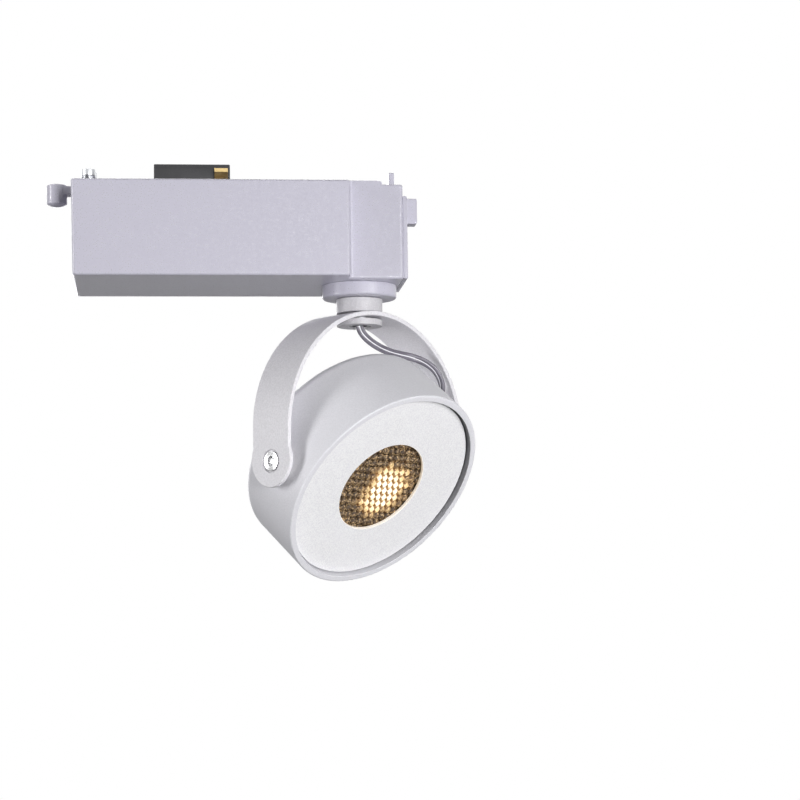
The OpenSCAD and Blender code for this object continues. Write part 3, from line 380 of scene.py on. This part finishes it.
def make_cable(material):
    path = smooth_path(cable_points(), CABLE_STEPS)
    verts = []
    travelled = [0.0]
    for i, point in enumerate(path):
        ahead = path[min(i + 1, len(path) - 1)]
        behind = path[max(i - 1, 0)]
        along = (ahead - behind).normalized()
        if i:
            travelled.append(travelled[-1] + (point - path[i - 1]).length)
        side = broad_axis(along, travelled[-1])
        up = along.cross(side)
        for k in range(CABLE_SIDES):
            angle = 2 * math.pi * k / CABLE_SIDES
            r = twin_radius(angle) * MM
            verts.append(point + side * (r * math.cos(angle)) + up * (r * math.sin(angle)))
    faces = []
    corners = []
    for i in range(len(path) - 1):
        for k in range(CABLE_SIDES):
            m = (k + 1) % CABLE_SIDES
            low = i * CABLE_SIDES
            high = low + CABLE_SIDES
            faces.append((low + k, low + m, high + m, high + k))
            corners.append([(k, i), (k + 1, i), (k + 1, i + 1), (k, i + 1)])
    last = (len(path) - 1) * CABLE_SIDES
    faces.append(tuple(range(CABLE_SIDES - 1, -1, -1)))
    faces.append(tuple(range(last, last + CABLE_SIDES)))
    corners.append([(k, 0) for k in range(CABLE_SIDES - 1, -1, -1)])
    corners.append([(k, len(path) - 1) for k in range(CABLE_SIDES)])
    mesh = bpy.data.meshes.new("twin_cable")
    mesh.from_pydata(verts, [], faces)
    run = mesh.uv_layers.new(name="run")
    for face, places in zip(mesh.polygons, corners):
        for loop, (k, i) in zip(face.loop_indices, places):
            run.data[loop].uv = (k / CABLE_SIDES, travelled[i] / MM)
    cable = add_object("twin_cable", mesh)
    shade(cable)
    finish_in(cable, material)
    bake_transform(cable)
    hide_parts("head_cable")


# Shader node groups
FLOAT = "NodeSocketFloat"
VECTOR = "NodeSocketVector"


def make_group(name, inputs, outputs):
    tree = bpy.data.node_groups.new(name, "ShaderNodeTree")
    for label, kind, value in inputs:
        socket = tree.interface.new_socket(label, in_out="INPUT", socket_type=kind)
        if value is not None:
            socket.default_value = value
    for label, kind in outputs:
        tree.interface.new_socket(label, in_out="OUTPUT", socket_type=kind)
    return tree, tree.nodes.new("NodeGroupInput"), tree.nodes.new("NodeGroupOutput")


def add_node(tree, kind, values=None, **settings):
    """A node with its settings, and its sockets set to numbers or linked to other sockets."""
    node = tree.nodes.new(kind)
    for key, value in settings.items():
        setattr(node, key, value)
    for key, value in (values or {}).items():
        if isinstance(value, bpy.types.NodeSocket):
            tree.links.new(value, node.inputs[key])
        else:
            node.inputs[key].default_value = value
    return node


def math_node(tree, operation, first, second=0.0, clamp=False):
    return add_node(tree, "ShaderNodeMath", {0: first, 1: second}, operation=operation,
                    use_clamp=clamp).outputs[0]


def remap(tree, value, low, high, new_low, new_high):
    return add_node(tree, "ShaderNodeMapRange", {
        "Value": value, "From Min": low, "From Max": high, "To Min": new_low, "To Max": new_high,
    }).outputs["Result"]


def mix_colour(tree, factor, first, second, blend="MIX"):
    return add_node(tree, "ShaderNodeMix", {0: factor, 6: first, 7: second}, data_type="RGBA",
                    blend_type=blend).outputs[2]


def read_map(tree, name):
    return add_node(tree, "ShaderNodeUVMap", uv_map=name).outputs["UV"]


def length_of(tree, vector):
    return add_node(tree, "ShaderNodeVectorMath", {0: vector}, operation="LENGTH").outputs["Value"]


def grain_group():
    """The fine orange peel of a coat or a moulded face: a height and a faint tone."""
    tree, start, end = make_group("fine_grain", [("Vector", VECTOR, None), ("Scale", FLOAT, 2000.0)],
                                  [("Height", FLOAT), ("Tone", FLOAT)])
    fine = add_node(tree, "ShaderNodeTexNoise", {
        "Vector": start.outputs["Vector"], "Scale": start.outputs["Scale"], "Detail": 2.0})
    wide_scale = math_node(tree, "MULTIPLY", start.outputs["Scale"], 0.21)
    wide = add_node(tree, "ShaderNodeTexNoise", {
        "Vector": start.outputs["Vector"], "Scale": wide_scale, "Detail": 3.0})
    wide_part = math_node(tree, "MULTIPLY", wide.outputs["Fac"], 0.15)
    height = math_node(tree, "ADD", fine.outputs["Fac"], wide_part)
    tree.links.new(height, end.inputs["Height"])
    tree.links.new(remap(tree, height, 0.38, 0.77, 0.0, 1.0), end.inputs["Tone"])
    return tree


def fleck_group():
    """Scattered bright flecks, a given share of small cells."""
    tree, start, end = make_group("pearl_fleck", [
        ("Vector", VECTOR, None), ("Scale", FLOAT, 2200.0), ("Share", FLOAT, 0.1),
        ("Size", FLOAT, 0.45)], [("Fleck", FLOAT)])
    cells = add_node(tree, "ShaderNodeTexVoronoi", {
        "Vector": start.outputs["Vector"], "Scale": start.outputs["Scale"]})
    parts = add_node(tree, "ShaderNodeSeparateColor", {"Color": cells.outputs["Color"]})
    chosen = math_node(tree, "LESS_THAN", parts.outputs["Red"], start.outputs["Share"])
    heart = math_node(tree, "MULTIPLY", start.outputs["Size"], 0.4)
    near = remap(tree, cells.outputs["Distance"], heart, start.outputs["Size"], 1.0, 0.0)
    bright = math_node(tree, "MULTIPLY", near, parts.outputs["Green"])
    tree.links.new(math_node(tree, "MULTIPLY", chosen, bright, clamp=True), end.inputs["Fleck"])
    return tree


def handling_group():
    """Broad uneven patches, as from handling and moulding."""
    tree, start, end = make_group("handling", [("Vector", VECTOR, None), ("Scale", FLOAT, 30.0)],
                                  [("Patch", FLOAT)])
    patch = add_node(tree, "ShaderNodeTexNoise", {
        "Vector": start.outputs["Vector"], "Scale": start.outputs["Scale"], "Detail": 4.0,
        "Distortion": 0.6})
    tree.links.new(remap(tree, patch.outputs["Fac"], 0.35, 0.65, 0.0, 1.0), end.inputs["Patch"])
    return tree


GRAIN = grain_group()
FLECK = fleck_group()
HANDLING = handling_group()


def place_group(tree, group, values):
    return add_node(tree, "ShaderNodeGroup", values, node_tree=group)


def place_patches(tree, place, scale):
    return place_group(tree, HANDLING, {"Vector": place, "Scale": scale}).outputs["Patch"]


# Finishes
def rgb(red, green, blue):
    return (red, green, blue, 1.0)


BLACK = rgb(0.0, 0.0, 0.0)
WHITE = rgb(1.0, 1.0, 1.0)


def tint(colour, amount):
    return rgb(*(min(c * amount, 1.0) for c in colour[:3]))


def new_material(name):
    material = bpy.data.materials.new(name)
    material.use_nodes = True
    tree = material.node_tree
    shader = tree.nodes["Principled BSDF"]
    place = tree.nodes.new("ShaderNodeTexCoord").outputs["Object"]
    return material, tree, shader, place


def uneven_gloss(tree, patch, rough, spread):
    """A roughness that wanders by the spread over the patches."""
    return remap(tree, patch, 0.0, 1.0, rough - spread, rough + spread)


def emboss(tree, shader, height, depth, strength):
    """Fine relief of this depth, in millimetres."""
    bump = add_node(tree, "ShaderNodeBump", {
        "Strength": strength, "Distance": depth * MM, "Height": height})
    tree.links.new(bump.outputs["Normal"], shader.inputs["Normal"])


def coated(name, colour, grain, tone, depth, rough, spread, fleck=(1500.0, 0.0), sparkle=0.0,
           gleam=0.0, shine=0.5):
    """Powder coat or pearl plastic: fine grain, flecks (their scale and share) and faint patches."""
    material, tree, shader, place = new_material(name)
    peel = place_group(tree, GRAIN, {"Vector": place, "Scale": grain})
    flecks = place_group(tree, FLECK, {
        "Vector": place, "Scale": fleck[0], "Share": fleck[1]}).outputs["Fleck"]
    patch = place_patches(tree, place, COAT_PATCHES)
    base = mix_colour(tree, peel.outputs["Tone"], tint(colour, 1 - tone), tint(colour, 1 + tone))
    patched = math_node(tree, "MULTIPLY", patch, PATCH_SHARE)
    base = mix_colour(tree, patched, base, tint(colour, PATCH_TINT))
    base = mix_colour(tree, math_node(tree, "MULTIPLY", flecks, sparkle), base, WHITE)
    tree.links.new(base, shader.inputs["Base Color"])
    dull = uneven_gloss(tree, patch, rough, spread)
    gloss = math_node(tree, "MULTIPLY", flecks, -FLECK_GLOSS * sparkle)
    tree.links.new(math_node(tree, "ADD", dull, gloss, clamp=True), shader.inputs["Roughness"])
    tree.links.new(math_node(tree, "MULTIPLY", flecks, gleam), shader.inputs["Metallic"])
    emboss(tree, shader, peel.outputs["Height"], depth, strength=0.5)
    shader.inputs["Specular IOR Level"].default_value = shine
    return material


def paint_gap_shade(material, tone):
    """Painted shade: less of the paint's tone on the walls of the gap round the disc."""
    tree = material.node_tree
    shader = tree.nodes["Principled BSDF"]
    paint = shader.inputs["Base Color"].links[0].from_socket
    gap = add_node(tree, "ShaderNodeAttribute", attribute_name="gap").outputs["Fac"]
    dark = mix_colour(tree, 1.0, paint, rgb(tone, tone, tone), blend="MULTIPLY")
    tree.links.new(mix_colour(tree, gap, paint, dark), shader.inputs["Base Color"])
    return material


def paint_aperture_glow(material):
    """Painted light: a warm glow on the walls of the disc's aperture, standing in for light from the lens."""
    tree = material.node_tree
    shader = tree.nodes["Principled BSDF"]
    wall = math_node(tree, "LESS_THAN", length_of(tree, read_map(tree, "face")), APERTURE_EDGE)
    warm = mix_colour(tree, wall, BLACK, rgb(1.0, 0.80, 0.52))
    tree.links.new(warm, shader.inputs["Emission Color"])
    shader.inputs["Emission Strength"].default_value = APERTURE_PAINTED_GLOW
    return material


def moulded(name, low, high, grain, depth, rough, spread):
    """Plain moulded plastic or rubber, with a fine grain and patches of another tone."""
    material, tree, shader, place = new_material(name)
    peel = place_group(tree, GRAIN, {"Vector": place, "Scale": grain})
    patch = place_patches(tree, place, MOULD_PATCHES)
    tone = math_node(tree, "MULTIPLY", peel.outputs["Tone"], patch)
    tree.links.new(mix_colour(tree, tone, low, high), shader.inputs["Base Color"])
    tree.links.new(uneven_gloss(tree, patch, rough, spread), shader.inputs["Roughness"])
    emboss(tree, shader, peel.outputs["Height"], depth, strength=0.5)
    return material


def metal(name, low, high, grain, stretch, rough, spread):
    """Bare or plated metal: fine drawn streaks and patches in its gloss."""
    material, tree, shader, place = new_material(name)
    drawn = add_node(tree, "ShaderNodeMapping", {"Vector": place, "Scale": stretch}).outputs["Vector"]
    streak = place_group(tree, GRAIN, {"Vector": drawn, "Scale": grain})
    patch = place_patches(tree, place, METAL_PATCHES)
    tree.links.new(mix_colour(tree, streak.outputs["Tone"], low, high), shader.inputs["Base Color"])
    tree.links.new(uneven_gloss(tree, patch, rough, spread), shader.inputs["Roughness"])
    emboss(tree, shader, streak.outputs["Height"], depth=0.01, strength=0.3)
    shader.inputs["Metallic"].default_value = 1.0
    return material


def turned(name, low, high, rough, spread):
    """Bright metal with the fine rings that a lathe leaves round its axis."""
    material, tree, shader, place = new_material(name)
    from_axis = length_of(tree, read_map(tree, "turned"))
    ring = math_node(tree, "SINE", math_node(tree, "MULTIPLY", from_axis, 2 * math.pi * RINGS_PER_MM))
    patch = place_patches(tree, place, TURNED_PATCHES)
    tone = math_node(tree, "MULTIPLY", remap(tree, ring, -1.0, 1.0, 0.5, 1.0), patch)
    tree.links.new(mix_colour(tree, tone, low, high), shader.inputs["Base Color"])
    tree.links.new(uneven_gloss(tree, patch, rough, spread), shader.inputs["Roughness"])
    emboss(tree, shader, ring, depth=0.03, strength=0.35)
    shader.inputs["Metallic"].default_value = 1.0
    return material


def clear_twin(name):
    """A smoky clear jacket over silver strands, with a painted highlight: a bright line where the two cores meet.
    """
    material, tree, shader, place = new_material(name)
    parts = add_node(tree, "ShaderNodeSeparateXYZ", {"Vector": read_map(tree, "run")})
    around = math_node(tree, "MULTIPLY", parts.outputs["X"], 2 * math.pi * STRANDS)
    lay = math_node(tree, "MULTIPLY", parts.outputs["Y"], STRAND_LAY)
    strand = math_node(tree, "SINE", math_node(tree, "ADD", around, lay))
    lobe = math_node(tree, "COSINE", math_node(tree, "MULTIPLY", parts.outputs["X"], 4 * math.pi))
    # Painted highlight: a near-white line down the middle of each broad side
    painted_highlight_seam = remap(tree, lobe, -0.8, -0.96, 0.0, 1.0)
    core = remap(tree, lobe, -0.2, 0.7, 0.0, 1.0)
    lit = math_node(tree, "MULTIPLY", remap(tree, strand, 0.1, 0.9, 0.0, 0.6), core)
    smoke = place_patches(tree, place, JACKET_PATCHES)
    jacket = mix_colour(tree, smoke, rgb(0.115, 0.105, 0.135), rgb(0.155, 0.145, 0.18))
    jacket = mix_colour(tree, lit, jacket, rgb(0.34, 0.325, 0.37))
    jacket = mix_colour(tree, painted_highlight_seam, jacket, rgb(0.88, 0.88, 0.92))
    tree.links.new(jacket, shader.inputs["Base Color"])
    tree.links.new(remap(tree, lit, 0.0, 1.0, 0.0, 0.4), shader.inputs["Metallic"])
    tree.links.new(remap(tree, smoke, 0.0, 1.0, 0.34, 0.44), shader.inputs["Roughness"])
    emboss(tree, shader, strand, depth=0.05, strength=0.25)
    shader.inputs["Coat Weight"].default_value = 0.6
    shader.inputs["Coat Roughness"].default_value = 0.06
    return material


def ramp_of(tree, value, stops):
    ramp = add_node(tree, "ShaderNodeValToRGB", {"Fac": value})
    elements = ramp.color_ramp.elements
    while len(elements) < len(stops):
        elements.new(0.5)
    for element, (position, colour) in zip(elements, stops):
        element.position = position
        element.color = colour
    return ramp.outputs["Color"]


# The glow painted on the beads, from its centre outwards, in shares of the lens's radius
GLOW_STOPS = [
    (0.0, rgb(1.0, 0.94, 0.78)), (0.30, rgb(1.0, 0.88, 0.62)), (0.42, rgb(0.60, 0.43, 0.20)),
    (0.52, rgb(0.14, 0.085, 0.035)), (0.60, BLACK),
]


def glow_painted_beads(name):
    """Warm moulded beads under painted light: an emitted glow, cream where the light source shows, then amber,
    then none; a painted lit crown on each bead and painted shade between. Their own colour is brown with specks,
    lighter on the crown.
    """
    material, tree, shader, place = new_material(name)
    chance = add_node(tree, "ShaderNodeAttribute", attribute_name="chance").outputs["Fac"]
    from_centre = length_of(tree, read_map(tree, "face"))
    uneven = remap(tree, chance, 0.0, 1.0, -BEAD_UNEVEN, BEAD_UNEVEN)
    glow = ramp_of(tree, math_node(tree, "ADD", from_centre, uneven), GLOW_STOPS)
    parts = add_node(tree, "ShaderNodeSeparateXYZ", {"Vector": read_map(tree, "bead")})
    across = math_node(tree, "MULTIPLY", math_node(tree, "ABSOLUTE", parts.outputs["X"]), 1.2)
    upward = math_node(tree, "ABSOLUTE", math_node(tree, "SUBTRACT", parts.outputs["Y"], 0.12))
    # Painted highlight on each bead's crown, and painted shade between the beads
    painted_lit_crown = remap(tree, math_node(tree, "ADD", across, upward), 0.7, 1.0, 1.0, 0.0)
    between = mix_colour(tree, 1.0, glow, rgb(0.16, 0.085, 0.03), blend="MULTIPLY")
    tree.links.new(mix_colour(tree, painted_lit_crown, between, glow), shader.inputs["Emission Color"])
    shader.inputs["Emission Strength"].default_value = BEAD_GLOW
    speck = place_group(tree, FLECK, {
        "Vector": place, "Scale": 1400.0, "Share": 0.7, "Size": 0.8}).outputs["Fleck"]
    brown = mix_colour(tree, painted_lit_crown, rgb(0.045, 0.025, 0.012), rgb(0.075, 0.043, 0.022))
    brown = mix_colour(tree, speck, brown, rgb(0.70, 0.48, 0.25))
    tree.links.new(brown, shader.inputs["Base Color"])
    tree.links.new(remap(tree, speck, 0.0, 1.0, 0.42, 0.5), shader.inputs["Roughness"])
    return material


def seen_share(tree, mirrored):
    """One for what is seen directly or through clear things, less where mirrored, else nought."""
    light_path = tree.nodes.new("ShaderNodeLightPath")
    glossy = math_node(tree, "MULTIPLY", light_path.outputs["Is Glossy Ray"], mirrored)
    seen = math_node(tree, "MAXIMUM", light_path.outputs["Is Camera Ray"], glossy)
    return math_node(tree, "MAXIMUM", seen, light_path.outputs["Is Transmission Ray"])


def studio_floor(name):
    """Pale to look at, and dull for the light that it throws back up."""
    material, tree, shader, place = new_material(name)
    patch = place_patches(tree, place, FLOOR_PATCHES)
    pale = mix_colour(tree, patch, rgb(0.86, 0.86, 0.86), rgb(0.87, 0.87, 0.87))
    seen = seen_share(tree, LOW_MIRRORED)
    tree.links.new(mix_colour(tree, seen, BLACK, pale), shader.inputs["Emission Color"])
    shader.inputs["Emission Strength"].default_value = 1.0
    shader.inputs["Base Color"].default_value = FLOOR_BOUNCE
    shader.inputs["Roughness"].default_value = 0.8
    return material


# Coats, each by the values that coated takes
COATS = {
    "housing_plastic": dict(colour=rgb(0.53, 0.517, 0.603), grain=1300.0, tone=0.02, depth=0.006,
                            rough=0.27, spread=0.003, fleck=(1600.0, 0.4), sparkle=0.25, gleam=0.5),
    "head_paint": dict(colour=rgb(0.80, 0.795, 0.837), grain=1700.0, tone=0.05, depth=0.03,
                       rough=0.48, spread=0.015, shine=0.35),
    "disc_paint": dict(colour=rgb(0.96, 0.95, 0.99), grain=1500.0, tone=0.14, depth=0.16,
                       rough=0.5, spread=0.02, fleck=(1500.0, 0.3), sparkle=0.25),
    "bracket_paint": dict(colour=rgb(0.79, 0.777, 0.813), grain=1300.0, tone=0.08, depth=0.05,
                          rough=0.42, spread=0.02, fleck=(1700.0, 0.45), sparkle=0.35),
    "stem_grey": dict(colour=rgb(0.57, 0.56, 0.585), grain=1300.0, tone=0.08, depth=0.05,
                      rough=0.4, spread=0.02, fleck=(1700.0, 0.45), sparkle=0.35),
}

# Moulded finishes: darker and lighter tone, grain, its depth, roughness and the roughness's spread
MOULDED = {
    "black_plastic": (rgb(0.028, 0.028, 0.031), rgb(0.05, 0.05, 0.054), 1500.0, 0.03, 0.46, 0.06),
    "nylon": (rgb(0.74, 0.72, 0.66), rgb(0.84, 0.82, 0.77), 900.0, 0.02, 0.4, 0.05),
    "board_laminate": (rgb(0.03, 0.16, 0.07), rgb(0.06, 0.26, 0.11), 500.0, 0.02, 0.38, 0.06),
    "core_tape": (rgb(0.66, 0.46, 0.06), rgb(0.80, 0.60, 0.12), 400.0, 0.03, 0.36, 0.06),
    "copper_winding": (rgb(0.38, 0.15, 0.05), rgb(0.62, 0.28, 0.10), 700.0, 0.1, 0.3, 0.06),
    "green_plastic": (rgb(0.03, 0.26, 0.13), rgb(0.06, 0.38, 0.2), 900.0, 0.02, 0.42, 0.05),
    "lead_pvc": (rgb(0.45, 0.04, 0.03), rgb(0.58, 0.08, 0.06), 800.0, 0.02, 0.3, 0.05),
    "grommet_rubber": (rgb(0.03, 0.03, 0.033), rgb(0.055, 0.055, 0.06), 1100.0, 0.05, 0.62, 0.08),
    "led_ceramic": (rgb(0.80, 0.80, 0.77), rgb(0.88, 0.88, 0.86), 1500.0, 0.01, 0.5, 0.05),
    "led_phosphor": (rgb(0.80, 0.56, 0.08), rgb(0.90, 0.68, 0.16), 2400.0, 0.02, 0.45, 0.05),
}

# Metals: darker and lighter tone, grain, its stretch, roughness and the roughness's spread
METALS = {
    "zinc_steel": (rgb(0.52, 0.53, 0.55), rgb(0.72, 0.73, 0.75), 900.0, (1, 1, 0.15), 0.34, 0.06),
    "contact_brass": (rgb(0.66, 0.47, 0.19), rgb(0.84, 0.64, 0.31), 900.0, (0.2, 1, 1), 0.28, 0.06),
    "plate_aluminium": (rgb(0.68, 0.68, 0.69), rgb(0.84, 0.84, 0.85), 700.0, (1, 1, 0.2), 0.32, 0.06),
}

FINISHES = {name: coated(name, **values) for name, values in COATS.items()}
FINISHES.update({name: moulded(name, *values) for name, values in MOULDED.items()})
FINISHES.update({name: metal(name, *values) for name, values in METALS.items()})
FINISHES["bright_steel"] = turned("bright_steel", rgb(0.62, 0.62, 0.63), rgb(0.86, 0.86, 0.87),
                                  rough=0.24, spread=0.05)
FINISHES["cable_pvc"] = clear_twin("cable_pvc")
FINISHES["amber_lens"] = glow_painted_beads("amber_lens")
# Shade painted on the walls of the gap round the disc, and a glow painted on the aperture's walls
paint_gap_shade(FINISHES["head_paint"], HEAD_GAP_SHADE_TONE)
paint_gap_shade(paint_aperture_glow(FINISHES["disc_paint"]), DISC_GAP_SHADE_TONE)

# Pieces whose finish differs from their slot's
OWN_FINISH = {"stem": "stem_grey", "saddle_washer": "stem_grey"}


def finish_of(node):
    return FINISHES[OWN_FINISH.get(node, SLOT_OF[node])]


# Beaded lens
def bead_places():
    """Staggered rows of beads with one at the lens's middle."""
    places = []
    rows = int(BEAD_EDGE / BEAD_ROW)
    for row in range(-rows, rows + 1):
        shift = BEAD_PITCH / 2 * (row % 2)
        count = int(BEAD_EDGE / BEAD_PITCH) + 1
        for k in range(-count, count + 1):
            place = Vector((k * BEAD_PITCH + shift, row * BEAD_ROW, 0))
            if place.length < BEAD_EDGE:
                places.append(place)
    return places


def make_bead():
    """One bead: the cap of a ball, cut off where it meets the plate."""
    ball_r = (BEAD_BASE_R ** 2 + BEAD_RISE ** 2) / (2 * BEAD_RISE)
    bpy.ops.object.select_all(action="DESELECT")
    bpy.ops.mesh.primitive_uv_sphere_add(segments=BEAD_SIDES, ring_count=BEAD_RINGS, radius=ball_r)
    bead = bpy.context.object
    bpy.ops.object.mode_set(mode="EDIT")
    bpy.ops.mesh.select_all(action="SELECT")
    bpy.ops.mesh.bisect(plane_co=(0, 0, ball_r - BEAD_RISE), plane_no=(0, 0, 1), clear_inner=True)
    bpy.ops.mesh.select_all(action="SELECT")
    bpy.ops.transform.translate(value=(0, 0, -ball_r))
    bpy.ops.object.mode_set(mode="OBJECT")
    return bead


def copy_beads():
    """A copy of the bead at each place, mapped by itself and with a chance of its own."""
    bead = make_bead()
    draw = random.Random(BEAD_SEED)
    copies = []
    for place in bead_places():
        copy = add_object("bead_copy", bead.data.copy())
        copy.data.transform(Matrix.Translation(place + Vector((0, 0, LENS_FRONT))))
        map_piece(copy, "bead", lambda spot: (spot - place).xy / BEAD_BASE_R)
        chance = copy.data.attributes.new("chance", "FLOAT", "POINT")
        chance.data.foreach_set("value", [draw.random()] * len(copy.data.vertices))
        copies.append(copy)
    bpy.data.objects.remove(bead)
    return copies


def make_lens():
    """The lens's plate with its beads, in millimetres until it is put in its place in the head."""
    plate_t = LENS_FRONT - BEAD_RISE - LENS_BACK + BEAD_SINK
    beads = copy_beads()
    bpy.ops.object.select_all(action="DESELECT")
    bpy.ops.mesh.primitive_cylinder_add(vertices=LENS_SIDES, radius=LENS_R, depth=plate_t,
                                        location=(0, 0, LENS_BACK + plate_t / 2))
    plate = bpy.context.object
    plate.name = "bead_lens_field"
    make_active(plate)
    bpy.ops.object.transform_apply(location=True, rotation=True, scale=True)
    map_piece(plate, "bead", lambda spot: (1.0, 1.0))
    soften(plate, *LENS_EDGE)
    for bead in beads:
        bead.select_set(True)
    bpy.context.view_layer.objects.active = plate
    bpy.ops.object.join()
    map_piece(plate, "face", lambda spot: (spot.xy - GLOW_CENTRE) / LENS_R)
    plate.data.transform(HEAD_FRAME @ Matrix.Scale(MM, 4))
    shade(plate, FACET_ANGLE)
    stand_for(plate, "bead_lens", finish_of("bead_lens"))


def make_spring():
    """The latch's spring, a smooth-shaded copy of the CAD solid in its place."""
    spring = copy_of("latch_spring", "latch_spring_coil")
    shade(spring)
    finish_in(spring, finish_of("latch_spring"))
    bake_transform(spring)
    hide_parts("latch_spring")


# Studio
def make_softbox(name, place, size, watts):
    lamp = bpy.data.lights.new(name, "AREA")
    lamp.energy = watts
    lamp.shape = "RECTANGLE"
    lamp.size = size[0]
    lamp.size_y = size[1]
    box = add_object(name, lamp)
    box.location = place
    box.rotation_mode = "QUATERNION"
    box.rotation_quaternion = (TARGET - Vector(place)).to_track_quat("-Z", "Y")


def make_world():
    world = bpy.data.worlds.new("studio")
    bpy.context.scene.world = world
    world.use_nodes = True
    tree = world.node_tree
    background = tree.nodes["Background"]
    background.inputs["Color"].default_value = WHITE
    direction = tree.nodes.new("ShaderNodeTexCoord").outputs["Generated"]
    height = add_node(tree, "ShaderNodeSeparateXYZ", {"Vector": direction}).outputs["Z"]
    seen = seen_share(tree, remap(tree, height, HORIZON_DIP, 0.0, LOW_MIRRORED, 1.0))
    tree.links.new(remap(tree, seen, 0.0, 1.0, AMBIENT, 1.0), background.inputs["Strength"])


def make_floor():
    bpy.ops.object.select_all(action="DESELECT")
    bpy.ops.mesh.primitive_plane_add(size=FLOOR_SIZE, location=(0, 0, FLOOR_Z))
    floor = bpy.context.object
    floor.name = "studio_floor"
    make_active(floor)
    bpy.ops.object.transform_apply(location=True)
    finish_in(floor, studio_floor("studio_floor"))


make_camera()
make_cable(finish_of("head_cable"))

for node, solid in NODES.items():
    finish_in(solid, FINISHES[SLOT_OF[node]])

for node, (width, steps) in SOFT_EDGES.items():
    softened = copy_of(node, node + "_soft")
    soften(softened, width * MM, steps)
    if node == "pivot_screws":
        map_piece(softened, "turned", across_tilt_axis)
    if node == "front_disc":
        map_piece(softened, "face", across_head_axis)
    # The disc and the head are marked for the shade painted in the gap round the disc
    if node in ("front_disc", "head_housing"):
        mark_gap_shade(softened)
    stand_for(softened, node, finish_of(node))

make_lens()
make_spring()

for name, (place, size, watts) in SOFTBOXES.items():
    make_softbox(name, place, size, watts)
make_world()
make_floor()

bpy.context.scene.view_settings.view_transform = "Standard"
